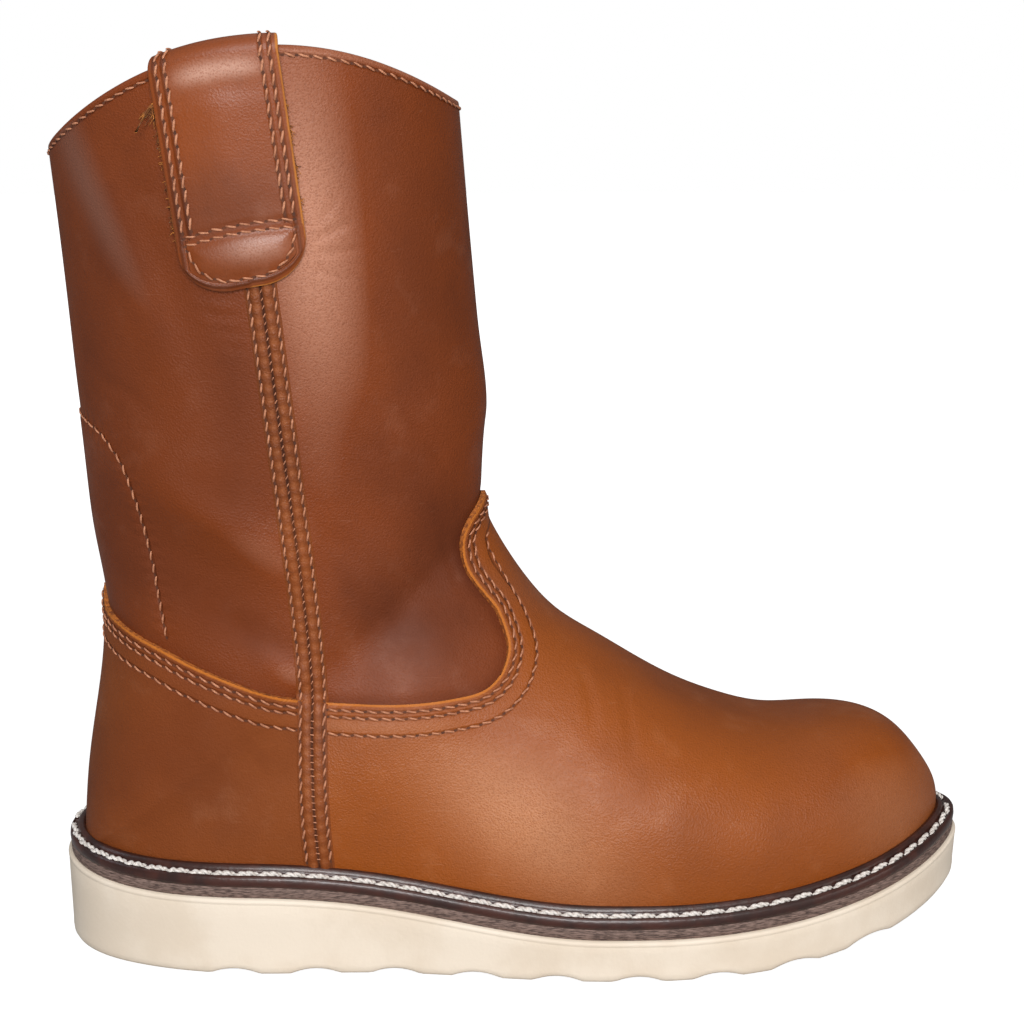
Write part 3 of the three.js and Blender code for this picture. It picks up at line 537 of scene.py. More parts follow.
def leather(name, base, dark, light, raw, gloss=0.46, grain=0.6, rawness=1.0, rows=edgeRows, specular=0.26):
    material, tree, shader = newMaterial(name, Coat_Weight=0.06, Coat_Roughness=0.36,
                                         Specular_IOR_Level=specular)
    group = addNode(tree, "Group", node_tree=leatherGroup)
    for key, value in (("Base", base), ("Dark", dark), ("Light", light), ("Raw", raw), ("Grain", grain),
                       ("Gloss", gloss), ("Rawness", rawness), ("First row", rows[0]), ("Second row", rows[1]),
                       ("Third row", rows[2])):
        group.inputs[key].default_value = value
    for field in ("tone", "edge", "cool", "run"):
        value = addNode(tree, "Attribute", attribute_name=field).outputs["Fac"]
        tree.links.new(value, group.inputs[field.capitalize()])
    tree.links.new(group.outputs["Color"], shader.inputs["Base Color"])
    tree.links.new(group.outputs["Roughness"], shader.inputs["Roughness"])
    bump = addNode(tree, "Bump", {"Strength": 0.7, "Distance": 0.0003, "Height": group.outputs["Height"]})
    tree.links.new(bump.outputs[0], shader.inputs["Normal"])
    return material


def plain(name, base, second, scale, roughness, bumpScale, depth, coat=0.0, stretch=(1.0, 1.0, 1.0)):
    material, tree, shader = newMaterial(name, Coat_Weight=coat, Coat_Roughness=0.3, Roughness=roughness)
    place = addNode(tree, "Mapping", {"Vector": addNode(tree, "TexCoord").outputs["Object"],
                                      "Scale": stretch}).outputs[0]
    shade = fade(tree, noise(tree, place, scale, 5.0, 0.6), 0.36, 0.66)
    tree.links.new(mixColour(tree, shade, base, second), shader.inputs["Base Color"])
    bump = addNode(tree, "Bump", {"Strength": 0.6, "Distance": depth, "Height": noise(tree, place, bumpScale)})
    tree.links.new(bump.outputs[0], shader.inputs["Normal"])
    return material


noRow = -9.0
# each leather's Light colour serves its painted highlights as well as paler mottling and scratches, its Dark colour
# its painted shade as well as darker mottling
shaftLeather = leather("Shaft leather", colour(124, 55, 10), colour(82, 33, 7), colour(186, 130, 104),
                       colour(180, 96, 42), grain=0.9, rawness=0.0, rows=(1.5, noRow, noRow))
footLeather = leather("Foot leather", colour(146, 72, 11), colour(104, 47, 6), colour(210, 150, 110),
                      colour(190, 110, 36), grain=0.95, rawness=0.8, specular=0.32)
seamLeather = leather("Seam leather", colour(130, 64, 20), colour(60, 26, 8), colour(184, 114, 70),
                      colour(180, 96, 42), grain=1.0, rawness=0.0, rows=(noRow, noRow, noRow))
strapLeather = leather("Strap leather", colour(132, 62, 18), colour(82, 34, 8), colour(208, 164, 144),
                       colour(184, 114, 46), gloss=0.38, grain=0.3, rows=(2.6, 5.2, noRow), specular=0.32)
rawEdge = plain("Raw leather edge", colour(186, 106, 36), colour(122, 62, 20), 620.0, 0.8, 1100.0, 0.0006)
strapEdge = plain("Strap edge", colour(178, 108, 44), colour(104, 56, 22), 620.0, 0.85, 1100.0, 0.0006)
liningLeather = plain("Lining leather", colour(166, 116, 72), colour(140, 92, 54), 60.0, 0.8, 700.0, 0.0002)
tanThread = plain("Tan thread", colour(192, 130, 96), colour(152, 94, 64), 900.0, 0.6, 2400.0, 0.0001)
paleThread = plain("Pale thread", colour(226, 220, 214), colour(190, 182, 174), 900.0, 0.7, 2600.0, 0.0001)
# dark colour of the discs painted as shade in the needle holes
holeShade = plain("Needle hole shade", colour(96, 48, 20), colour(70, 33, 14), 200.0, 0.8, 900.0, 0.0001)
fibre = plain("Loose fibre", colour(190, 118, 44), colour(90, 44, 14), 300.0, 0.8, 900.0, 0.0001)
weltLeather = plain("Welt leather", colour(64, 30, 21), colour(42, 19, 14), 110.0, 0.34, 700.0, 0.0002,
                    coat=0.08)
midsoleBoard = plain("Midsole board", colour(132, 108, 98), colour(62, 44, 38), 1.0, 0.7, 1.4, 0.0004,
                     stretch=(380.0, 380.0, 2900.0))
creamRubber = plain("Cream rubber", colour(227, 213, 195), colour(218, 202, 182), 34.0, 0.6, 800.0, 0.00012)
insoleBoard = plain("Insole board", colour(168, 126, 84), colour(140, 100, 66), 80.0, 0.85, 800.0, 0.0002)
print("materials ready")


def metres(points):
    return np.asarray(points) / 1000 + origin


def meshPiece(name, points, faces, materials, slots=None, fields=None):
    mesh = bpy.data.meshes.new(name)
    mesh.from_pydata(metres(points).tolist(), [], faces if isinstance(faces, list) else faces.tolist())
    for material in materials:
        mesh.materials.append(material)
    if slots is not None:
        mesh.polygons.foreach_set("material_index", np.asarray(slots, np.int32))
    for field, values in (fields or {}).items():
        mesh.attributes.new(field, "FLOAT", "POINT").data.foreach_set("value", np.asarray(values, np.float32))
    mesh.polygons.foreach_set("use_smooth", np.ones(len(mesh.polygons), bool))
    mesh.validate()
    piece = bpy.data.objects.new(name, mesh)
    bpy.context.collection.objects.link(piece)
    return piece


class Build:  # gathers sheets and small parts into one mesh
    def __init__(self):
        self.points, self.faces, self.slots, self.count = [], [], [], 0
        self.fields = {"tone": [], "edge": [], "run": [], "cool": []}

    def add(self, points, faces, slot=0, tone=0.0, edge=20.0, run=0.0, cool=0.0):
        points = np.asarray(points).reshape(-1, 3)
        self.points.append(points)
        self.faces += [[i + self.count for i in face] for face in faces]
        self.slots += [slot] * len(faces)
        for field, values in zip(self.fields, (tone, edge, run, cool)):
            self.fields[field].append(np.broadcast_to(np.ravel(values), (len(points),)))
        self.count += len(points)

    def finish(self, name, materials, slot, *nodes):
        piece = meshPiece(name, np.concatenate(self.points), self.faces, materials, self.slots,
                          {field: np.concatenate(values) for field, values in self.fields.items()})
        if nodes:
            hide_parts(*nodes)
        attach(piece, "root")
        print(name, len(piece.data.polygons), "faces")
        return piece


def gridFaces(rows, columns, wrap=False):
    i, j = np.meshgrid(np.arange(rows - 1), np.arange(columns if wrap else columns - 1), indexing="ij")
    k = (j + 1) % columns
    return np.stack([i * columns + j, i * columns + k, (i + 1) * columns + k, (i + 1) * columns + j],
                    -1).reshape(-1, 4).tolist()


def flipped(faces):
    return [face[::-1] for face in faces]


def clipSheet(field):  # splits the quads of a grid where field crosses zero and keeps the positive part
    rows, columns = field.shape
    quads = np.array(gridFaces(rows, columns))
    f = field.ravel()
    inside = f[quads] > 0
    faces = quads[inside.all(1)].tolist()
    cuts, pairs, rims = {}, [], []
    for quad in quads[inside.any(1) & ~inside.all(1)].tolist():
        ring, leaving, entering = [], None, None
        for a, b in zip(quad, quad[1:] + quad[:1]):
            if f[a] > 0:
                ring.append(a)
            if (f[a] > 0) != (f[b] > 0):
                key = (min(a, b), max(a, b))
                if key not in cuts:
                    cuts[key] = rows * columns + len(cuts)
                    pairs.append((key[0], key[1], f[key[0]] / (f[key[0]] - f[key[1]])))
                ring.append(cuts[key])
                leaving, entering = (cuts[key], entering) if f[a] > 0 else (leaving, cuts[key])
        faces.append(ring)
        rims.append((leaving, entering))
    return faces, np.array(pairs).reshape(-1, 3), rims


def withCuts(values, pairs, grid):
    flat = values.reshape(grid, *values.shape[2:])
    a, b, t = pairs[:, 0].astype(int), pairs[:, 1].astype(int), pairs[:, 2]
    t = t.reshape(-1, *[1] * (flat.ndim - 1))
    return np.concatenate([flat, flat[a] + (flat[b] - flat[a]) * t])


def keepUsed(faces, *tables):
    used = np.unique(np.concatenate([np.ravel(f) for f in faces]))
    renumber = np.full(len(tables[0]), -1)
    renumber[used] = np.arange(len(used))
    return [[int(renumber[i]) for i in f] for f in faces], [t[used] for t in tables]


def table(columns, rows):
    return [dict(zip(columns.split(), row)) for row in rows]


# soft hollows and swellings of the leather: middle in the side view, size in mm, turn in degrees, and the side
softForms = table("along up long wide turn height side", [
    (0.12, 0.62, 42, 13, 138, 1.4, -1),
    (0.19, 0.54, 30, 7, 148, 1.2, -1),
    (0.165, 0.485, 34, 9, 148, -1.5, -1),
    (0.225, 0.41, 20, 5, 148, -1.2, -1),
    (0.255, 0.365, 10, 4.5, 152, 1, -1),
    (0.1, 0.88, 52, 8, 112, 1.2, -1),
    (0.15, 0.8, 50, 8, 110, -1.1, -1),
    (0.3, 0.88, 60, 13, 96, 0.6, -1),
    (0.37, 0.82, 70, 16, 94, -0.5, -1),
    (0.31, 0.52, 42, 11, 142, -0.3, -1),
    (0.37, 0.5, 36, 8, 134, 0.2, -1),
    (0.352, 0.47, 42, 13, 137, 1.1, -1),
    (0.42, 0.43, 26, 7, 120, -0.4, -1),
    (0.12, 0.52, 40, 13, 30, -1.0, 1),
    (0.34, 0.5, 40, 11, 142, -1.3, 1),
    (0.3, 0.85, 60, 14, 95, -1.0, 1),
    (0.39, 0.78, 60, 13, 92, 0.9, 1)])
# creases, each a soft trough with raised lips: places in the side view, depth and width in mm
creases = table("line depth wide side", [
    ([(0.292, 0.86), (0.312, 0.868), (0.336, 0.882)], 0.55, 1.0, -1),
    ([(0.292, 0.848), (0.318, 0.846), (0.35, 0.85)], 0.5, 1.0, -1),
    ([(0.288, 0.834), (0.31, 0.822), (0.338, 0.812)], 0.45, 1.0, -1),
    ([(0.296, 0.874), (0.31, 0.892), (0.322, 0.914)], 0.35, 0.9, -1),
    ([(0.172, 0.806), (0.196, 0.798), (0.22, 0.798)], 0.45, 1.0, -1),
    ([(0.178, 0.788), (0.2, 0.778), (0.226, 0.776)], 0.5, 1.1, -1),
    ([(0.19, 0.768), (0.208, 0.76), (0.229, 0.757)], 0.4, 1.0, -1),
    ([(0.2, 0.748), (0.214, 0.742), (0.231, 0.738)], 0.35, 0.9, -1),
    ([(0.362, 0.664), (0.392, 0.64), (0.418, 0.604), (0.432, 0.575)], 0.5, 1.8, -1),
    ([(0.33, 0.642), (0.362, 0.612), (0.392, 0.572)], 0.35, 1.8, -1),
    ([(0.282, 0.54), (0.32, 0.508), (0.36, 0.462), (0.392, 0.418)], 0.35, 2.6, -1),
    ([(0.3, 0.48), (0.33, 0.448), (0.358, 0.412), (0.372, 0.378)], 0.3, 2.2, -1),
    ([(0.34, 0.556), (0.376, 0.52), (0.404, 0.478), (0.418, 0.44)], 0.3, 2.2, -1),
    ([(0.408, 0.536), (0.42, 0.5), (0.43, 0.46), (0.448, 0.42)], 0.25, 1.6, -1),
    ([(0.142, 0.48), (0.17, 0.46), (0.206, 0.45), (0.242, 0.452)], 0.15, 2.4, -1),
    ([(0.15, 0.545), (0.18, 0.522), (0.22, 0.512)], 0.15, 2.2, -1),
    ([(0.065, 0.7), (0.1, 0.69), (0.13, 0.664)], 0.3, 1.8, -1),
    ([(0.56, 0.352), (0.572, 0.31), (0.574, 0.262)], 0.3, 2.0, -1),
    ([(0.602, 0.33), (0.612, 0.288), (0.61, 0.238)], 0.25, 1.8, -1),
    ([(0.282, 0.54), (0.33, 0.5), (0.38, 0.44)], 0.6, 2.4, 1),
    ([(0.15, 0.5), (0.19, 0.47), (0.24, 0.462)], 0.5, 2.4, 1),
    ([(0.36, 0.66), (0.4, 0.62), (0.43, 0.57)], 0.45, 1.8, 1),
    ([(0.57, 0.34), (0.585, 0.3), (0.588, 0.25)], 0.3, 2.0, 1)])
# painted highlights and painted shade on the leather, laid out as the soft forms are
highlightAndShadeSpots = table("along up long wide turn shade side", [
    (0.08, 0.85, 80, 24, 96, -0.38, -1),
    (0.29, 0.87, 46, 14, 95, 0.72, -1),
    (0.3, 0.66, 30, 10, 100, 0.08, -1),
    (0.4, 0.8, 70, 15, 96, -0.5, -1),
    (0.38, 0.56, 34, 12, 120, -0.3, -1),
    (0.39, 0.4, 38, 16, 135, -0.45, -1),
    (0.42, 0.52, 24, 8, 110, -0.3, -1),
    (0.19, 0.6, 50, 14, 80, -0.35, -1),
    (0.15, 0.46, 34, 12, 148, -0.4, -1),
    (0.2, 0.53, 26, 6, 148, 0.34, -1),
    (0.222, 0.41, 18, 6, 148, -0.35, -1),
    (0.26, 0.362, 8, 4, 150, 0.4, -1),
    (0.08, 0.5, 34, 12, 80, -0.1, -1),
    (0.5, 0.19, 36, 17, 140, 0.42, -1),
    (0.14, 0.27, 40, 20, 0, -0.15, -1),
    (0.62, 0.34, 60, 13, 154, -0.25, 0),
    (0.82, 0.28, 40, 11, 172, -0.48, 0),
    (0.9, 0.17, 24, 15, 130, 0.24, 0)])
# a painted cool reflection on the leather, and warmer places of the leather below zero
coolReflectionAndWarmSpots = table("along up long wide turn shade side", [
    (0.062, 0.95, 34, 5.5, 116, 0.6, -1),
    (0.11, 0.83, 38, 5, 118, 0.55, -1),
    (0.05, 0.3, 24, 9, 95, 0.3, -1),
    (0.64, 0.355, 55, 6, 154, 0.5, 0),
    (0.79, 0.3, 32, 5, 174, 0.4, 0),
    (0.15, 0.74, 60, 12, 102, -0.5, -1),
    (0.17, 0.5, 50, 20, 92, -0.5, -1),
    (0.1, 0.25, 40, 24, 60, -0.5, -1),
    (0.42, 0.7, 60, 10, 95, -0.3, -1),
    (0.88, 0.2, 40, 24, 150, -0.35, -1)])


def sideForms(points, normals, forms, key):  # the sum of soft spots, each on its side, or on both where it says 0
    total = np.zeros(points.shape[:-1])
    for form in forms:
        dx = points[..., 0] - form["along"] * sole["length"]
        dz = points[..., 2] - form["up"] * leg["height"]
        c, s = math.cos(math.radians(form["turn"])), math.sin(math.radians(form["turn"]))
        u, v = (dx * c + dz * s) / form["long"], (dz * c - dx * s) / form["wide"]
        facing = np.clip(normals[..., 1] * form["side"] * 1.8, 0, 1) if form["side"] else 1.0
        total += form[key] * np.exp(-(u * u + v * v)) * facing
    return total


def bell(distance, middle, wide):
    return np.exp(-((distance - middle) / wide) ** 2)


# reach and lips as shares of a crease's width, its full depth as shares of its length
creaseShape = {"reach": 4, "lip": 0.3, "lipPlace": 2, "fullFrom": 0.3, "fullTo": 0.6}


def creaseHeight(points, normals):
    total = np.zeros(points.shape[:-1])
    for crease in creases:
        line = sideCurve(crease["line"], crease["side"])
        line = skinAt(line[:, 0], line[:, 1])
        reach = creaseShape["reach"] * crease["wide"]
        near = ((points > line.min(0) - reach) & (points < line.max(0) + reach)).all(-1)
        near &= normals[..., 1] * crease["side"] > 0
        if not near.any():
            continue
        far, run = pathDistance(points[near], line)
        length = runLength(line)[-1]
        share = run / length
        ends = ease(share, 0, creaseShape["fullFrom"]) * (1 - ease(share, creaseShape["fullTo"], 1))
        w = far / crease["wide"]
        total[near] += crease["depth"] * ends * (creaseShape["lip"] * bell(w, creaseShape["lipPlace"], 1)
                                                 - bell(w, 0, 1))
    return total


stayTop = 20.2  # row at which the back stay's stitches cross the back line
backStay = sideCurve([(0.04, 0.652), (0.068, 0.639), (0.081, 0.625), (0.093, 0.606), (0.1, 0.583),
                      (0.106, 0.553), (0.112, 0.515), (0.118, 0.484), (0.123, 0.45), (0.13, 0.4)],
                     before=[(stayTop, -1.0)])
backStayOutline = np.vstack([backStay, [[backStay[-1][0], -1.01], [stayTop, -1.01]]])


class HeightMap:  # heights over a skin grid, read at any place on it
    def __init__(self, at, across, height):
        self.rows, self.columns, self.height = at[:, 0], across[0], height

    def __call__(self, at, across):
        i = np.interp(at, self.rows, np.arange(len(self.rows)))
        j = np.interp(across, self.columns, np.arange(len(self.columns)))
        i0 = np.minimum(i.astype(int), len(self.rows) - 2)
        j0 = np.minimum(j.astype(int), len(self.columns) - 2)
        f, g, h = i - i0, j - j0, self.height
        return ((h[i0, j0] * (1 - g) + h[i0, j0 + 1] * g) * (1 - f)
                + (h[i0 + 1, j0] * (1 - g) + h[i0 + 1, j0 + 1] * g) * f)


def skinGrid(first, final, pitch, half):
    rows = evenRows(first, final, pitch)
    columns = np.linspace(-1, 1, 2 * half + 1)
    at, across = np.meshgrid(rows, columns, indexing="ij")
    points = skinAt(at, across)
    return at, across, points, gridNormals(points, at)


def addSheet(build, keep, points, normals, offset, tone, edge, run, base=None):  # walls go down to base
    faces, pairs, rims = clipSheet(keep)
    grid = keep.size
    skin, normal = withCuts(points, pairs, grid), withCuts(normals, pairs, grid)
    # painted cool reflection from the spots, and warmer leather below zero
    cool = np.clip(sideForms(points, normals, coolReflectionAndWarmSpots, "shade"), -1, 1)
    out, tone, edge, run, cool = (withCuts(v, pairs, grid) for v in (offset, tone, edge, run, cool))
    edge[grid:] = 0 if base is not None else edge[grid:]
    top = skin + normal * out[:, None]
    used, (placed, *values) = keepUsed(faces, top, tone, edge, run, cool)
    build.add(placed, used, 0, *values)
    if base is not None:
        leaving, entering = np.array(rims).T
        low = skin + normal * base
        build.add(np.concatenate([top[leaving], top[entering], low[entering], low[leaving]]),
                  [[i + k * len(rims) for k in range(4)] for i in range(len(rims))], 1)


def roundedEdge(distance, radius):
    into = np.clip(radius - distance, 0, radius)
    return radius - np.sqrt(np.maximum(radius ** 2 - into ** 2, 0))


def inFootPanels(at, across):
    places = at, -np.abs(across)
    return insideOutline(*places, vampOutline) | insideOutline(*places, counterOutline)


# the leg, from a margin under the foot's panels up to the turned collar, with its lining; sizes in mm
# the panel-edge tone paints a shadow along the panels' edge, the rim tone a highlight along the rim towards the
# front; the turn's glow and shade paint a highlight on the collar's turn towards the front and slight shade
# elsewhere
legPiece = {"first": 11.0, "pitch": 1.5, "half": 150, "underlap": 6.0, "stayHeight": 0.5, "rimRow": 1.5,
            "panelDent": 0.3, "panelEdgeShadow": -0.3, "stayShade": -0.02, "rimHighlight": 0.3, "paleFrom": 70,
            "paleTo": 95, "turnSteps": 8, "turnRise": 1.1, "turnGlow": 0.35, "turnShade": -0.1,
            "tuckSteps": 7, "liningFirst": 7.0, "liningLast": 22.8,
            "liningPitch": 3.2, "liningHalf": 60, "liningDepth": 0.35}


def makeLegFace(build):  # the outer leather: its forms, the back stay's step, a painted shadow along the panels' edge and a painted highlight along the rim towards the front
    at, across, points, normals = skinGrid(legPiece["first"], collarRow, legPiece["pitch"], legPiece["half"])
    edgeFar, _ = edgeField(at, across, points, [vampPath, counterPath])
    keep = np.where(inFootPanels(at, across), -edgeFar, edgeFar) + legPiece["underlap"]
    stayFar, stayRun = edgeField(at, across, points, [backStay])
    inStay = insideOutline(at, -np.abs(across), backStayOutline)
    rimLine = skinAt(np.full(400, float(collarRow)), np.linspace(-1, 1, 400))
    rimFar = pathDistance(points.reshape(-1, 3), np.vstack([rimLine, rimLine[:1]]))[0].reshape(at.shape)
    height = sideForms(points, normals, softForms, "height") * ease(rimFar, 2, 20) + creaseHeight(points, normals)
    height += np.where(inStay, legPiece["stayHeight"] * ease(stayFar, 0, 2.5), 0)
    height -= legPiece["panelDent"] * bell(edgeFar, 0, 2.5) * (edgeFar < 8)
    towardsFront = ease(points[..., 0], legPiece["paleFrom"], legPiece["paleTo"])
    # painted highlights and shade from the spots, and a painted shadow along the panels' edge
    tone = sideForms(points, normals, highlightAndShadeSpots, "shade") + legPiece["panelEdgeShadow"] * bell(edgeFar, 0, 3)
    # a slightly darker back stay, and a painted highlight along the rim towards the front
    tone += legPiece["stayShade"] * inStay + legPiece["rimHighlight"] * bell(rimFar, 0, 1.3) * towardsFront
    stitchFar = np.minimum(rimFar, stayFar + legPiece["rimRow"])
    addSheet(build, keep, points, normals, height, tone, stitchFar, np.where(rimFar < stayFar, 0.0, stayRun))
    return points, normals, height, HeightMap(at, across, height)


def makeCollarTurn(build, points, normals, height):  # the leather turned over the collar, then down inside it, with a painted highlight towards the front and slight painted shade elsewhere
    last = points[-1] + normals[-1] * height[-1][:, None]
    upward = unit(points[-1] - points[-2])
    roll = layers["wall"] / 2
    rows = [last]
    for angle in np.linspace(0, math.pi, legPiece["turnSteps"] + 1)[1:]:
        rows.append(last - normals[-1] * roll * (1 - math.cos(angle))
                    + upward * legPiece["turnRise"] * roll * math.sin(angle))
    for down in range(1, legPiece["tuckSteps"] + 1):
        rows.append(points[-1 - down] - normals[-1 - down] * (layers["wall"] + 0.05))
    rows = np.array(rows)
    towardsFront = ease(rows[..., 0], legPiece["paleFrom"], legPiece["paleTo"])
    # painted highlight on the front of the turn, slight painted shade elsewhere
    build.add(rows, gridFaces(*rows.shape[:2]), 0, legPiece["turnGlow"] * towardsFront + legPiece["turnShade"])


def makeLining(build):
    at, _, points, normals = skinGrid(*[legPiece[key] for key in ("liningFirst", "liningLast", "liningPitch",
                                                                  "liningHalf")])
    inner = points - normals * (layers["wall"] - legPiece["liningDepth"])
    build.add(inner, flipped(gridFaces(*at.shape)), 1)


legBuild = Build()
points, normals, height, legMap = makeLegFace(legBuild)
makeCollarTurn(legBuild, points, normals, height)
makeLining(legBuild)
legBuild.finish("leg_leather", [shaftLeather, liningLeather], "leg_leather", "upper")

# the foot's panels: a soft swelling between the stitch rows with a painted highlight along it, and an edge that
# thins to its rim; sizes in mm
panel = {"relief": 0.4, "swellRow": 7.2, "swell": 0.15, "swellWide": 1.9, "skive": 0.8, "skiveWide": 1.6,
         "swellHighlight": 0.12, "swellHighlightWide": 2.2, "foot": -0.1, "counterShade": -0.5}


def addPanel(build, first, final, pitch, half, outline, edge, extraTone=0.0):
    at, across, points, normals = skinGrid(first, final, pitch, half)
    inside = insideOutline(at, -np.abs(across), outline)
    far, run = edgeField(at, across, points, [edge])
    seamFar, _ = edgeField(at, across, points, [lowSeam])
    keep = np.where(inside, np.minimum(far, seamFar), -np.minimum(far, seamFar))
    height = sideForms(points, normals, softForms, "height") * panel["relief"] + creaseHeight(points, normals)
    height += panel["swell"] * bell(far, panel["swellRow"], panel["swellWide"])
    offset = overlayStack + height - panel["skive"] * np.clip(1 - far / panel["skiveWide"], 0, 1)
    tone = sideForms(points, normals, highlightAndShadeSpots, "shade") + extraTone
    # painted highlight along the swelling between the stitch rows
    tone += panel["swellHighlight"] * bell(far, panel["swellRow"], panel["swellHighlightWide"])
    addSheet(build, keep, points, normals, offset, tone, far, run, base=panel["foot"])
    return HeightMap(at, across, overlayStack + height)


vampBuild, counterBuild = Build(), Build()
vampMap = addPanel(vampBuild, 0.0, 15.6, 1.25, 92, vampOutline, vampPath)
vampBuild.finish("vamp_leather", [footLeather, rawEdge], "foot_leather", "vamp")
counterMap = addPanel(counterBuild, 11.3, 18.7, 1.15, 130, counterOutline, counterPath, panel["counterShade"])
counterBuild.finish("counter_leather", [footLeather, rawEdge], "foot_leather", "counter")


# side seams: two rolls with a groove between them, pulled into ripples by the stitches, with painted shade and
# painted highlights; sizes in mm
seam = {"half": 5.3, "roll": 0.85, "rollMiddle": 1.85, "rollHalf": 1.8, "row": 3.9, "margin": 0.45,
        "columns": 31, "pitch": 1.2, "rowDent": 0.2, "ripple": 0.12, "rippleShift": 1.7, "grooveShadow": -0.95,
        "rowTroughShade": -0.45, "crestHighlight": 0.1, "rippleLightAndShade": -0.16, "under": 0.25}


def lateral(path):  # frames of a line on the skin: place, normal and sideways
    here = skinAt(path[:, 0], path[:, 1])
    normal = normalAt(path[:, 0], path[:, 1])
    return here, normal, unit(np.cross(normal, unit(np.gradient(here, axis=0))))


def coverOffset(at, across, points):  # how high the foot's panels lie here, rising softly past their edges
    far, _ = edgeField(at, across, points, [vampPath, counterPath])
    return overlayStack * ease(np.where(inFootPanels(at, across), far, -far), -2.2, 1.2)


def makeSeam(side, name, node):
    path = seamPath * [1, -side]
    path = evenly(path, skinAt(path[:, 0], path[:, 1]), seam["pitch"])
    here, normal, sideways = lateral(path)
    u = np.linspace(-seam["half"], seam["half"], seam["columns"])
    target = here[:, None] + sideways[:, None] * u[None, :, None]
    at, across = settle(target, np.repeat(path[:, :1], len(u), 1), np.repeat(path[:, 1:], len(u), 1))
    points, normals = skinAt(at, across), normalAt(at, across)
    lift = coverOffset(at, across, points) + legMap(at, across)
    roll = seam["roll"] * np.sqrt(np.maximum(0, 1 - ((np.abs(u) - seam["rollMiddle"]) / seam["rollHalf"]) ** 2))
    margin = seam["margin"] * (1 - ease(np.abs(u), seam["row"] + 0.3, seam["half"]))
    run = np.arange(len(path))[:, None] * seam["pitch"]
    ripple = np.cos(run * 2 * math.pi / stitchPitch + (u > 0) * seam["rippleShift"]) * (roll > 0.3)
    row = bell(np.abs(u), seam["row"], 0.5)
    out = lift + np.maximum(roll, margin - seam["rowDent"] * row) + seam["ripple"] * ripple
    out[:, [0, -1]] = lift[:, [0, -1]] - seam["under"]
    # painted shade in the groove and at the stitch rows, painted highlights on the rolls' crests, painted light and
    # shade along the ripples
    tone = (seam["grooveShadow"] * bell(u, 0, 0.5) + seam["rowTroughShade"] * bell(np.abs(u), seam["row"], 0.6)
            + seam["crestHighlight"] * (roll > 0.8) + seam["rippleLightAndShade"] * ripple)
    build = Build()
    build.add(points + normals * out[..., None], gridFaces(*at.shape), 0, tone)
    ends = [points[-1] + normals[-1] * height[:, None] for height in (out[-1], lift[-1] - 0.2)]
    # the seam's cut end, painted darker as shade
    build.add(np.array(ends), gridFaces(2, len(u)), 0, -0.3)
    build.finish(name, [seamLeather], "leg_leather", node)


makeSeam(-1, "seam_outer", "side_seam_outer")
makeSeam(1, "seam_inner", "side_seam_inner")


# pull straps: a raw-edged sheet bent over the collar, with a padded half-round patch at its outer end
strap = {"width": 37.5, "drop": 68, "insideDrop": 50, "thickness": 2.6, "corner": 15, "headroom": 2.2,
         "insideGap": 1, "lean": 0.12, "along": {-1: 0.2045, 1: 0.19}, "columns": 47, "tailRows": 72,
         "foldRows": 11, "insideRows": 16, "crossRow": 50.5, "crossGap": (-1.4, 0.9), "rows": (2.6, 5.2),
         "worn": 0.7, "pad": 1.5, "padSoft": 2.6, "padEdge": 3.6, "padTop": 1.6, "crossDent": 0.4,
         "crossWide": 0.7, "crossShort": 2, "swell": 0.35, "swellAcross": (-1, 7), "swellFrom": (4, 14),
         "swellTo": (38, 49), "hollow": 0.5, "hollowDown": (9, 4), "hollowAcross": (0, 13)}
# painted highlights and painted shade of the straps, as middle and spread or start and end in mm, and how far their
# edges look worn
strapLook = {"fold": 0.55, "foldDown": (4, 2.8), "foldMiddle": 1, "foldHalf": 12, "pad": 0.3,
             "padDown": (56.5, 3.5), "padAcross": (4, 8), "tail": -0.2, "tailDown": (24, 46), "turn": -0.25,
             "turnGlow": 0.15, "inside": -0.2, "rims": (0.7, 0.2), "arcShift": 0.3, "arcFar": 12,
             "arcEnds": (3.6, 4.6)}
halfStrap = strap["width"] / 2
foldBend = layers["wall"] / 2 + layers["gap"]  # radius of the strap's lower face over the collar
rimSpread = np.linspace(0.02, 0.98, 600)
rimCurve = {side: skinAt(0 * rimSpread + collarRow, side * rimSpread) for side in (-1, 1)}


def rimHeight(x, side):
    line = rimCurve[side]
    order = np.argsort(line[:, 0])
    return np.interp(x, line[order, 0], line[order, 2])


def tailLength(across, drop):
    into = np.maximum(0, np.abs(across) - (halfStrap - strap["corner"])) / strap["corner"]
    return drop - strap["corner"] * (1 - np.sqrt(np.maximum(0, 1 - into ** 2)))


def strapSpot(across, down, side):  # skin place and outward normal under a place of the strap
    x0 = strap["along"][side] * sole["length"] + across
    places = placeSideView(np.stack([x0 + strap["lean"] * down, rimHeight(x0, side) - down], 1), side)
    return skinAt(places[:, 0], places[:, 1]), normalAt(places[:, 0], places[:, 1])


def strapFold(across, side):  # middle of the fold over the collar, and the way out from the leg
    point, normal = strapSpot(across, 0 * across, side)
    outward = unit(normal * [1, 1, 0])
    return point - outward * layers["wall"] / 2 + [0, 0, strap["headroom"] - foldBend], outward


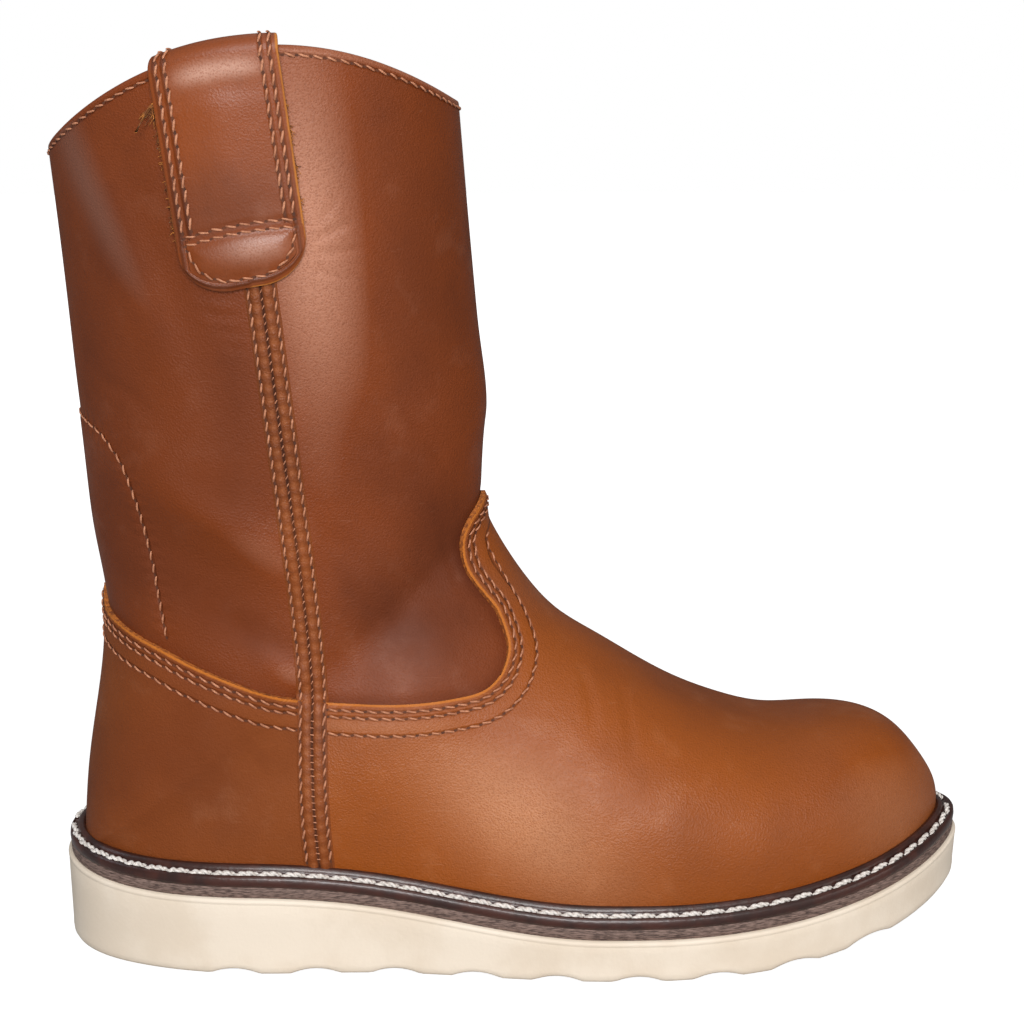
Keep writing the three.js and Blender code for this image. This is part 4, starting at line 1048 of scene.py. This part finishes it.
def strapRelief(across, down):  # padded patch, stitch troughs and a soft hollow under the fold
    beside = halfStrap - np.abs(across)
    edge = np.minimum(beside, tailLength(across, strap["drop"]) - down)
    inPatch = np.minimum(edge - strap["padEdge"], down - strap["crossRow"] - strap["padTop"])
    height = strap["pad"] * (1 - np.exp(-np.maximum(inPatch, 0) / strap["padSoft"]))
    for row in strap["crossRow"] + np.array(strap["crossGap"]):
        height -= strap["crossDent"] * bell(down, row, strap["crossWide"]) * (beside > strap["crossShort"])
    height += (strap["swell"] * bell(across, *strap["swellAcross"]) * ease(down, *strap["swellFrom"])
               * (1 - ease(down, *strap["swellTo"])))
    height -= strap["hollow"] * bell(down, *strap["hollowDown"]) * bell(across, *strap["hollowAcross"])
    return height - roundedEdge(edge, strap["worn"])


def makeStrap(side, name, node):
    u = -halfStrap * np.cos(np.linspace(0, math.pi, strap["columns"]))
    near, far, tone, edge = [], [], [], []
    beside = halfStrap - np.abs(u)
    for share in np.linspace(1, 0, strap["tailRows"]):
        down = tailLength(u, strap["drop"]) * share
        point, normal = strapSpot(u, down, side)
        near.append(point + normal * layers["gap"])
        far.append(point + normal * (layers["gap"] + strap["thickness"] + strapRelief(u, down))[:, None])
        inFold = np.exp(-((u - strapLook["foldMiddle"]) / strapLook["foldHalf"]) ** 4)
        # painted highlight below the fold and on the padded patch, and darker towards the tail above the cross rows
        tone.append(strapLook["fold"] * bell(down, *strapLook["foldDown"]) * inFold
                    + strapLook["pad"] * bell(down, *strapLook["padDown"]) * bell(u, *strapLook["padAcross"])
                    + strapLook["tail"] * ease(down, *strapLook["tailDown"]) * (down < strap["crossRow"]))
        rim = np.minimum(beside, tailLength(u, strap["drop"]) - down) + np.where(u < 0, *strapLook["rims"])
        arc = rim + strapLook["arcShift"] + strapLook["arcFar"] * ease(rim, *strapLook["arcEnds"])
        edge.append(np.where(down > strap["crossRow"], arc, rim))
    centre, outward = strapFold(u, side)
    worn = roundedEdge(beside, strap["worn"])
    for angle in np.linspace(0, math.pi, strap["foldRows"]):
        spoke = outward * math.cos(angle) + np.array([0, 0, math.sin(angle)])
        near.append(centre + spoke * foldBend)
        far.append(centre + spoke * (foldBend + strap["thickness"] - worn)[:, None])
        # painted shade over the fold, with a painted highlight where it meets the outer and inner parts
        tone.append(strapLook["turn"] + strapLook["turnGlow"] * math.cos(angle) ** 8 + 0 * u)
        edge.append(beside + strapLook["rims"][0] * (u < 0))
    for share in np.linspace(0, 1, strap["insideRows"])[1:]:
        point, normal = strapSpot(u, tailLength(u, strap["insideDrop"]) * share, side)
        base = -layers["wall"] - strap["insideGap"]
        near.append(point + normal * base)
        far.append(point + normal * (base - strap["thickness"] + worn)[:, None])
        # painted shade on the part inside the collar
        tone.append(strapLook["inside"] * np.ones(len(u)))
        edge.append(beside)
    near, far = np.array(near), np.array(far)
    build = Build()
    faces = gridFaces(*far.shape[:2])
    build.add(far, flipped(faces) if side < 0 else faces, 0, np.array(tone), np.array(edge))
    build.add(near, faces if side < 0 else flipped(faces), 1)
    for a, b in ((near[:, 0], far[:, 0]), (near[:, -1], far[:, -1]), (near[0], far[0]), (near[-1], far[-1])):
        build.add(np.stack([a, (a + b) / 2, b]), gridFaces(3, len(a)), 1)
    build.finish(name, [strapLeather, strapEdge], "leg_leather", node)


makeStrap(-1, "strap_outer", "pull_strap_outer")
makeStrap(1, "strap_inner", "pull_strap_inner")


# sole pieces: rings round the plan outline, each at an inset with a height, from rows of a section
planSteps = 260  # stations along each side of the plan
stations = 1 - np.abs(np.linspace(-1, 1, 2 * planSteps + 1))[:-1]
stationSide = np.where(np.arange(2 * planSteps) < planSteps, -1, 1)


def planRing(inset, height):
    rings = []
    for side in (-1, 1):
        own = stationSide == side
        x0 = planPoint(stations[own], side)[0]
        x, y = insetPoint(stations[own], side, inset(x0) if callable(inset) else inset)
        rings.append(np.stack([x, y, height(x)], 1))
    return np.concatenate(rings)


def band(build, rings):
    build.add(np.array(rings), flipped(gridFaces(len(rings), len(rings[0]), wrap=True)))


# the outsole's wall, in mm: insets with heights above the ground and, at its lip, with depths below its top
outsole = {"low": [(2.6, 0.0), (1.3, 0.45), (0.7, 1.5), (0.55, 3.0), (0.6, 5.0)], "wallShares": (0.35, 0.7),
           "lip": [(0.14, 2.1), (0.2, 1.85), (0.03, 1.6), (0.0, 1.1), (0.12, 0.6), (0.6, 0.1), (3.0, 0.0)],
           "archFade": 6, "acrossSteps": 70}
tread = {"first": 60, "pitch": 26.4, "count": 9, "width": 16, "depth": 1.9, "ribPitch": 4.4, "rib": 0.7,
         "ribLean": 0.5, "ribPower": 0.6, "border": (4, 6)}


def lugArch(x):  # shallow arches across the sole between the lugs
    rise = 0 * x
    for k in range(tread["count"]):
        near = (x - tread["first"] - k * tread["pitch"]) / (tread["width"] / 2)
        rise = np.maximum(rise, tread["depth"] * np.maximum(0, 1 - near ** 2))
    return rise


def outsoleWall():
    def low(up):
        return lambda x: footLift(x) + lugArch(x) * max(0, 1 - up / outsole["archFade"]) + up

    def middle(share):
        return lambda x: (footLift(x) + lowUp) * (1 - share) + (soleTop(x) - lipDrop) * share

    def high(drop):
        return lambda x: soleTop(x) - drop

    lowInset, lowUp = outsole["low"][-1]
    lipInset, lipDrop = outsole["lip"][0]
    wall = [planRing(inset, low(up)) for inset, up in outsole["low"]]
    for share in outsole["wallShares"]:
        wall.append(planRing(lowInset * (1 - share) + lipInset * share, middle(share)))
    return wall + [planRing(inset, high(drop)) for inset, drop in outsole["lip"]]


def outsoleBottom(ring):  # from side to side under the sole, with ribs on the lugs
    outer, inner = ring[:planSteps + 1], np.concatenate([ring[planSteps:], ring[:1]])[::-1]
    share = np.linspace(0, 1, outsole["acrossSteps"] + 1)[None, :, None]
    bottom = outer[:, None] * (1 - share) + inner[:, None] * share
    fromEdge = np.minimum(*[np.linalg.norm(bottom - edge[:, None], axis=2) for edge in (outer, inner)])
    slanted = bottom[..., 0] + np.abs(bottom[..., 1]) * tread["ribLean"]
    ribs = np.maximum(0, np.sin(slanted * 2 * math.pi / tread["ribPitch"])) ** tread["ribPower"]
    bottom[..., 2] += tread["rib"] * ribs * ease(fromEdge, *tread["border"]) * (lugArch(bottom[..., 0]) < 0.05)
    return bottom


outsoleBuild = Build()
wall = outsoleWall()
band(outsoleBuild, wall)
bottom = outsoleBottom(wall[0])
outsoleBuild.add(bottom, flipped(gridFaces(*bottom.shape[:2])))
outsoleBuild.finish("outsole_rubber", [creamRubber], "outsole", "outsole")

# the midsole: insets from its own edge, and heights above its underside
midsoleSection = [(2.5, 0.02), (0.25, 0.05), (0.0, 0.5), (-0.1, 2.0), (0.0, 3.5), (0.3, 3.95), (5.0, 4.0)]
midsole = Build()
band(midsole, [planRing(layers["midsoleInset"] + inset,
                        lambda x, up=up: soleTop(x) + layers["gap"] * up / layers["midsoleThickness"] + up)
               for inset, up in midsoleSection])
midsole.finish("midsole_edge", [midsoleBoard], "midsole", "midsole")

# the welt: its side as insets and heights, its top as shares of its reach with depths, its bead as shares
weltShape = {"bead": 2.4, "beadWidth": 2.8, "tuck": 1.5,
             "side": [(0.4, -0.9), (-0.16, -0.7), (-0.3, 0.6), (-0.15, 2.0), (0.25, 2.7), (0.8, 3.0)],
             "top": [(0.3, 0.08), (0.45, 0.4), (0.7, 0.45), (0.85, 0.12)],
             "beadRows": [(1.0, -0.1), (0.97, 0.3), (0.85, 0.72), (0.6, 0.97), (0.4, 1.0), (0.15, 0.9),
                          (-0.2, 0.55)]}


def weltTopInset(x, share):  # a share of the way from the welt's edge to its bead
    return layers["midsoleInset"] + (weltInset(x) - weltShape["beadWidth"] - layers["midsoleInset"]) * share


def weltTop(x, up=0.0):
    return seatPlane(x) + layers["weltThickness"] + up


rings = [planRing(lambda x: weltInset(x) + weltShape["tuck"], seatPlane)]
for inset, up in weltShape["side"]:
    rings.append(planRing(layers["midsoleInset"] + inset, lambda x, up=up: seatPlane(x) + up))
for share, dip in weltShape["top"]:
    rings.append(planRing(lambda x, share=share: weltTopInset(x, share), lambda x, dip=dip: weltTop(x, -dip)))
for share, up in weltShape["beadRows"]:
    rings.append(planRing(lambda x, share=share: weltInset(x) - weltShape["beadWidth"] * share,
                          lambda x, up=up: weltTop(x, up * weltShape["bead"])))
welt = Build()
band(welt, rings)
welt.finish("welt_leather", [weltLeather], "welt", "welt")
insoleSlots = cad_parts["insole"].material_slots
for slot in insoleSlots:
    slot.material = insoleBoard
print("sole ready")

# tan stitches and dark discs between them, painted shade in the needle holes; sizes in mm
tanStitch = {"length": 3.5, "width": 0.72, "lift": 0.36, "turn": -15.0, "sides": 6, "rings": 5, "sink": 0.25,
             "holeLong": 0.62, "holeWide": 0.4, "holeCorners": 7, "holeLift": 0.12, "look": 0.6}


def stitchTemplate(length, width, lift, sides, rings):  # one stitch as an arched tube that comes to a point
    u = np.sin(np.linspace(-math.pi / 2, math.pi / 2, rings + 2))[1:-1]
    foot = -tanStitch["sink"] * lift
    points, faces = [[-length / 2, 0, foot]], []
    for at in u:
        radius = width / 2 * (1 - at ** 4) ** 0.5
        for j in range(sides):
            angle = 2 * math.pi * j / sides
            points.append([at * length / 2, radius * math.cos(angle), lift * (1 - at * at) - 0.1 * lift
                           + 0.8 * radius * math.sin(angle)])
    points.append([length / 2, 0, foot])
    last = len(points) - 1
    for j in range(sides):
        k = (j + 1) % sides
        faces.append([0, 1 + k, 1 + j])
        for ring in range(len(u) - 1):
            a = 1 + ring * sides
            faces.append([a + j, a + k, a + sides + k, a + sides + j])
        faces.append([last - sides + j, last - sides + k, last])
    return np.array(points), faces


stitchShape = stitchTemplate(*[tanStitch[key] for key in ("length", "width", "lift", "sides", "rings")])
holeTurns = np.arange(tanStitch["holeCorners"]) * 2 * math.pi / tanStitch["holeCorners"]
holeShape = [[tanStitch["holeLong"] * math.cos(a), tanStitch["holeWide"] * math.sin(a)] for a in holeTurns]


def stitchRow(build, line, normals, pitch=stitchPitch, scale=1.0, turn=tanStitch["turn"], hole=True):
    run = runLength(line)
    count = max(1, int(round(run[-1] / pitch)))
    spin = math.radians(turn)

    def readAt(where, values):
        return np.stack([np.interp(where, run, values[:, k]) for k in range(3)], 1)

    def frameAt(where):
        normal = unit(readAt(where, normals))
        along = unit(readAt(where + tanStitch["look"], line) - readAt(where - tanStitch["look"], line))
        along = unit(along - normal * (along * normal).sum(1)[:, None])
        return readAt(where, line), along, np.cross(normal, along), normal

    place, along, side, normal = frameAt((np.arange(count) + 0.5) * run[-1] / count)
    points, faces = stitchShape
    for k in range(count):
        angle = spin + rng.normal(0, 0.03)
        a = along[k] * math.cos(angle) + side[k] * math.sin(angle)
        b = side[k] * math.cos(angle) - along[k] * math.sin(angle)
        size = scale * rng.uniform(0.94, 1.05)
        build.add(place[k] + points[:, :1] * size * a + points[:, 1:2] * size * b
                  + points[:, 2:] * normal[k] * scale, faces, 0)
    # dark discs at the needle holes, painted shade
    if hole:
        place, along, side, normal = frameAt(np.arange(count + 1) * run[-1] / count)
        for k in range(count + 1):
            disc = np.array([place[k] + along[k] * p[0] * scale + side[k] * p[1] * scale
                             + normal[k] * tanStitch["holeLift"] for p in holeShape])
            build.add(disc, [list(range(len(disc)))], 1)


def rowBeside(path, side, distance, height, into=1, check=None):  # a row at a distance from a line on the skin
    path = path * [1, -side]
    here, _, sideways = lateral(path)
    at, across = settle(here + sideways * distance * into * side, path[:, 0], path[:, 1])
    points, normals = skinAt(at, across), normalAt(at, across)
    if check is not None:  # leaves out what comes too near the line where it bends
        line = skinAt(check[:, 0], -side * check[:, 1])
        good = pathDistance(points, line)[0] > distance - 0.25
        at, across, points, normals = at[good], across[good], points[good], normals[good]
    line = points + normals * height(at, across, points)[:, None]
    for _ in range(6):
        line[1:-1] = (line[:-2] + 2 * line[1:-1] + line[2:]) / 4
    return line, normals


panelRows = {"lift": 0.02, "clearOfSeam": 1.2, "lowest": 40, "openAtRidge": 7}  # mm
panelThread = Build()
for side in (-1, 1):
    ownSeam = skinAt(lowSeam[:, 0], -side * lowSeam[:, 1])
    for row in edgeRows:
        for path, panelMap, into in ((vampPath, vampMap, -1), (counterPath, counterMap, 1)):
            line, normals = rowBeside(path, side, row, lambda a, w, _: panelMap(a, w) + panelRows["lift"],
                                      into, path)
            clear = pathDistance(line, ownSeam)[0] > seam["row"] + panelRows["clearOfSeam"]
            clear &= line[:, 2] > panelRows["lowest"]
            if path is vampPath and row == edgeRows[-1]:
                clear &= np.abs(line[:, 1]) > panelRows["openAtRidge"]
            stitchRow(panelThread, line[clear], normals[clear])
panelThread.finish("panel_stitches", [tanThread, holeShade], "foot_leather")

# rows of the leg: two beside each seam, a finer one in its groove that is coarser low down, and the back stay's
legRows = {"top": 0.81, "foot": 37.5, "coarseBelow": 0.31, "sideLift": 0.25, "grooveLift": 0.35,
           "stayLift": 0.03,
           "coarse": {"pitch": 2.2, "scale": 0.6, "turn": 80.0},
           "fine": {"pitch": 2.5, "scale": 0.5, "turn": -35.0, "hole": False}}
legThread = Build()
seamHeights = skinAt(*seamPath.T)[:, 2]
ownPath = seamPath[np.argmax(seamHeights < legRows["top"] * leg["height"]):
                   np.flatnonzero(seamHeights > legRows["foot"])[-1]]
for side in (-1, 1):
    for offset, lift in ((-seam["row"], legRows["sideLift"]), (0.0, legRows["grooveLift"]),
                         (seam["row"], legRows["sideLift"])):
        line, normals = rowBeside(ownPath, side, offset,
                                  lambda a, w, p: coverOffset(a, w, p) + legMap(a, w) + lift)
        if offset:
            stitchRow(legThread, line, normals)
            continue
        low = line[:, 2] < legRows["coarseBelow"] * leg["height"]
        stitchRow(legThread, line[low], normals[low], **legRows["coarse"])
        stitchRow(legThread, line[~low], normals[~low], **legRows["fine"])
    line, normals = rowBeside(backStay, side, 0.0, lambda a, w, p: legMap(a, w) + legRows["stayLift"])
    stitchRow(legThread, line, normals)
rimPlaces, rimAcross = 900, np.linspace(-1, 1, 900)
rim = skinAt(np.full(rimPlaces, float(collarRow)), rimAcross)
at, across = settle(rim - [0, 0, legPiece["rimRow"]], np.full(rimPlaces, collarRow - 0.1), rimAcross)
normals = normalAt(at, across)
points = skinAt(at, across) + normals * (legMap(at, across) + legRows["stayLift"])[:, None]
free = np.ones(rimPlaces, bool)
for side in (-1, 1):
    beside = np.abs(points[:, 0] - strap["along"][side] * sole["length"]) < halfStrap + 1
    free &= ~(beside & (points[:, 1] * side > 10))
starts = np.flatnonzero(np.diff(np.concatenate([[0], free.astype(int), [0]])))
for a, b in zip(starts[::2], starts[1::2]):
    if b - a > 8:
        stitchRow(legThread, points[a:b], normals[a:b])
legThread.finish("leg_stitches", [tanThread, holeShade], "leg_leather")

# rows of a strap; places in mm from its edge or its end
strapRows = {"samples": 60, "first": 0.6, "aboveCross": 3, "crossMargin": 2.6, "arcMargin": 3.0,
             "arcBelow": 2.4, "arcSamples": 90, "lift": 0.12, "foldStart": 130, "foldSamples": 16,
             "foldLift": 0.05, "scale": 1.15}


def strapLine(across, down, side):
    point, normal = strapSpot(across, down, side)
    lift = layers["gap"] + strap["thickness"] + strapRelief(across, down) + strapRows["lift"]
    return point + normal * lift[:, None], normal


def strapRow(across, side):  # a row that comes over the fold and down to the cross rows
    downs = np.linspace(strapRows["first"], strap["crossRow"] - strapRows["aboveCross"], strapRows["samples"])
    line, normals = strapLine(np.full(len(downs), across), downs, side)
    centre, outward = strapFold(np.array([across]), side)
    angles = np.linspace(math.radians(strapRows["foldStart"]), 0, strapRows["foldSamples"])[:, None]
    spokes = outward * np.cos(angles) + np.array([0, 0, 1.0]) * np.sin(angles)
    over = centre + spokes * (foldBend + strap["thickness"] + strapRows["foldLift"])
    return np.vstack([over, line]), np.vstack([spokes, normals])


strapThread = Build()
for side in (-1, 1):
    for row in strap["rows"]:
        for hand in (-1, 1):
            stitchRow(strapThread, *strapRow(hand * (halfStrap - row), side), scale=strapRows["scale"])
    ends = halfStrap - strapRows["crossMargin"]
    for gap in strap["crossGap"]:
        downs = np.full(strapRows["samples"], strap["crossRow"] + gap)
        stitchRow(strapThread, *strapLine(np.linspace(-ends, ends, strapRows["samples"]), downs, side))
    ends = halfStrap - strapRows["arcMargin"]
    bow = np.linspace(-ends, ends, strapRows["arcSamples"])
    arc = tailLength(bow * halfStrap / ends, strap["drop"]) - strapRows["arcMargin"]
    arc = np.maximum(arc, strap["crossRow"] + strapRows["arcBelow"])
    stitchRow(strapThread, *strapLine(bow, arc, side))
strapThread.finish("strap_stitches", [tanThread, holeShade], "leg_leather")

# welt stitches: two strands twisted round each other, in the groove beside the bead; sizes in mm
weltStitch = {"pitch": 7.6, "length": 7.4, "radius": 0.76, "apart": 0.38, "twists": 1.5, "lift": 0.8,
              "sink": 0.55, "slant": 0.45, "place": 0.58, "from": 0.012, "to": 0.985, "samples": 22, "sides": 6,
              "thinEnd": 0.35, "thickMiddle": 0.45}
weltThread = Build()
ring = (np.arange(weltStitch["sides"]) * 2 * math.pi / weltStitch["sides"])[None, :, None]
for side in (-1, 1):
    turns = np.linspace(weltStitch["from"], weltStitch["to"], 900)
    x, y = insetPoint(turns, side, weltTopInset(planPoint(turns, side)[0], weltStitch["place"]))
    line = np.stack([x, y, weltTop(x)], 1)
    run = runLength(line)
    count = int(run[-1] / weltStitch["pitch"])
    u = np.linspace(-1, 1, weltStitch["samples"])
    thick = weltStitch["radius"] * (weltStitch["thinEnd"] + weltStitch["thickMiddle"] * (1 - u ** 6))
    for k in range(count):
        where = (k + 0.5) * run[-1] / count + u * weltStitch["length"] / 2
        core = np.stack([np.interp(where, run, line[:, c]) for c in range(3)], 1)
        core[:, 2] += weltStitch["lift"] * (1 - u ** 4) - weltStitch["sink"]
        along = unit(np.gradient(core, axis=0))
        flat = unit(np.cross([0, 0, 1.0], along))
        up = np.cross(along, flat)
        core -= flat * (weltStitch["slant"] * u * side)[:, None]
        for phase in (0, math.pi):
            angle = (u * math.pi * weltStitch["twists"] + phase)[:, None]
            strand = core + weltStitch["apart"] * (flat * np.cos(angle) + up * np.sin(angle))
            around = flat[:, None] * np.cos(ring) + up[:, None] * np.sin(ring)
            tube = strand[:, None] + thick[:, None, None] * around
            weltThread.add(tube, gridFaces(len(u), weltStitch["sides"], wrap=True), 0)
weltThread.finish("welt_stitches", [paleThread], "welt")

# loose fibres at the outer strap's raw edges, in clumps; places, lengths and thickness in mm
clumps = table("hand down spread count long thick fall", [
    (-1, 8.5, 1.2, 4, 6.5, 0.22, -1.1), (-1, 11, 2, 9, 3.4, 0.14, -0.9), (-1, 18, 2, 6, 1.6, 0.12, -0.8),
    (-1, 34, 15, 54, 1.0, 0.12, 0), (1, 16, 0.8, 3, 1.3, 0.12, -0.3), (1, 23, 1.2, 5, 1.5, 0.12, 0.2),
    (1, 33.5, 1.0, 5, 1.9, 0.12, -0.4), (1, 44, 0.8, 4, 1.5, 0.12, 0.3), (1, 30, 20, 40, 0.6, 0.12, 0)])
fuzz = Build()
hairSteps, hairSides = 7, 3
ring = np.arange(hairSides) * 2 * math.pi / hairSides
hairSection = np.stack([np.cos(ring), 0 * ring, np.sin(ring)], 1)
for clump in clumps:
    for _ in range(clump["count"]):
        down = clump["down"] + rng.uniform(-1, 1) * clump["spread"]
        point, normal = strapSpot(np.array([clump["hand"] * halfStrap]), np.array([down]), -1)
        start = point[0] + normal[0] * rng.uniform(0.8, 2.8)
        way = unit(np.array([clump["hand"] * rng.uniform(0.5, 1), 0, clump["fall"] + rng.uniform(-0.4, 0.4)])
                   + normal[0] * rng.uniform(0, 0.5))
        curl = unit(rng.normal(0, 1, 3))
        t = np.linspace(0, 1, hairSteps)[:, None]
        reach = clump["long"] * rng.uniform(0.5, 1)
        hair = start + way * t * reach + (curl * 0.5 - [0, 0, 0.4]) * t * t * reach
        tube = hair[:, None] + clump["thick"] * hairSection[None]
        fuzz.add(tube, gridFaces(hairSteps, hairSides, wrap=True), 0)
fuzz.finish("strap_fibres", [fibre], "leg_leather")
print("stitches ready")


# studio, in metres: a pale floor and surroundings that are white to the eye and dimmer in reflections
studio = {"floorReach": 4.0, "floorDrop": 0.0002, "floorGrey": 0.4, "glow": (0.35, 1.0, 0.86, 1.15),
          "roomLight": 0.2, "roomSeen": 1.0}
floorMaterial, tree, shader = newMaterial("Studio floor", Base_Color=(*[studio["floorGrey"]] * 3, 1),
                                          Roughness=0.9, Emission_Color=(1, 1, 1, 1))
seen = addNode(tree, "LightPath").outputs["Is Camera Ray"]
away = addNode(tree, "VectorMath", {0: addNode(tree, "TexCoord").outputs["Object"]},
               operation="LENGTH").outputs["Value"]
glow = math2(tree, "MULTIPLY", seen, fade(tree, away, *studio["glow"]))
tree.links.new(glow, shader.inputs["Emission Strength"])
corners = [(x * studio["floorReach"], y * studio["floorReach"], -studio["floorDrop"])
           for x, y in ((-1, -1), (1, -1), (1, 1), (-1, 1))]
floorMesh = bpy.data.meshes.new("studio_floor")
floorMesh.from_pydata(corners, [], [[0, 1, 2, 3]])
floorMesh.materials.append(floorMaterial)
floor = bpy.data.objects.new("studio_floor", floorMesh)
bpy.context.collection.objects.link(floor)

world = bpy.data.worlds.new("Studio")
world.use_nodes = True
background = world.node_tree.nodes["Background"]
background.inputs["Color"].default_value = (1.0, 1.0, 1.0, 1)
seen = addNode(world.node_tree, "LightPath").outputs["Is Camera Ray"]
brightness = fade(world.node_tree, seen, 0, 1, studio["roomLight"], studio["roomSeen"])
world.node_tree.links.new(brightness, background.inputs["Strength"])
bpy.context.scene.world = world

softLights = {  # place and target in metres, width and height of the lamp, power in watts, tint
    "front": ((-0.02, -1.35, 0.62), (0, 0, 0.13), 0.7, 0.45, 18.5, (1.0, 1.0, 1.0)),
    "high_front": ((0.05, -0.75, 1.4), (0, 0, 0.15), 0.7, 0.5, 3.6, (1.0, 1.0, 1.0)),
    "overhead": ((0.0, 0.3, 1.5), (0, 0, 0.1), 1.2, 1.0, 3, (1.0, 1.0, 1.0)),
    "back_left": ((-1.1, -0.2, 0.75), (-0.05, 0, 0.22), 0.14, 0.9, 2.2, (0.75, 0.87, 1.0)),
    "right_low": ((1.2, -0.9, 0.3), (0.08, 0, 0.06), 0.6, 0.5, 2.4, (1.0, 0.95, 0.9))}
for name, (place, target, width, height, power, tint) in softLights.items():
    light = bpy.data.lights.new(name, "AREA")
    light.shape, light.size, light.size_y, light.energy, light.color = "RECTANGLE", width, height, power, tint
    lamp = bpy.data.objects.new(name, light)
    lamp.location = place
    lamp.rotation_euler = (Vector(target) - Vector(place)).to_track_quat("-Z", "Y").to_euler()
    bpy.context.collection.objects.link(lamp)

view = {"lens": 69.08, "sensor": 36, "far": 50, "place": (-0.0343, -0.6451, 0.292), "down": 12.8, "turn": -2.9}
cameraData = bpy.data.cameras.new("camera")
cameraData.lens, cameraData.sensor_width, cameraData.clip_end = view["lens"], view["sensor"], view["far"]
camera = bpy.data.objects.new("camera", cameraData)
camera.location = view["place"]
camera.rotation_euler = (math.radians(90 - view["down"]), 0, math.radians(view["turn"]))
bpy.context.collection.objects.link(camera)
bpy.context.scene.camera = camera
bpy.context.scene.view_settings.view_transform = "Standard"
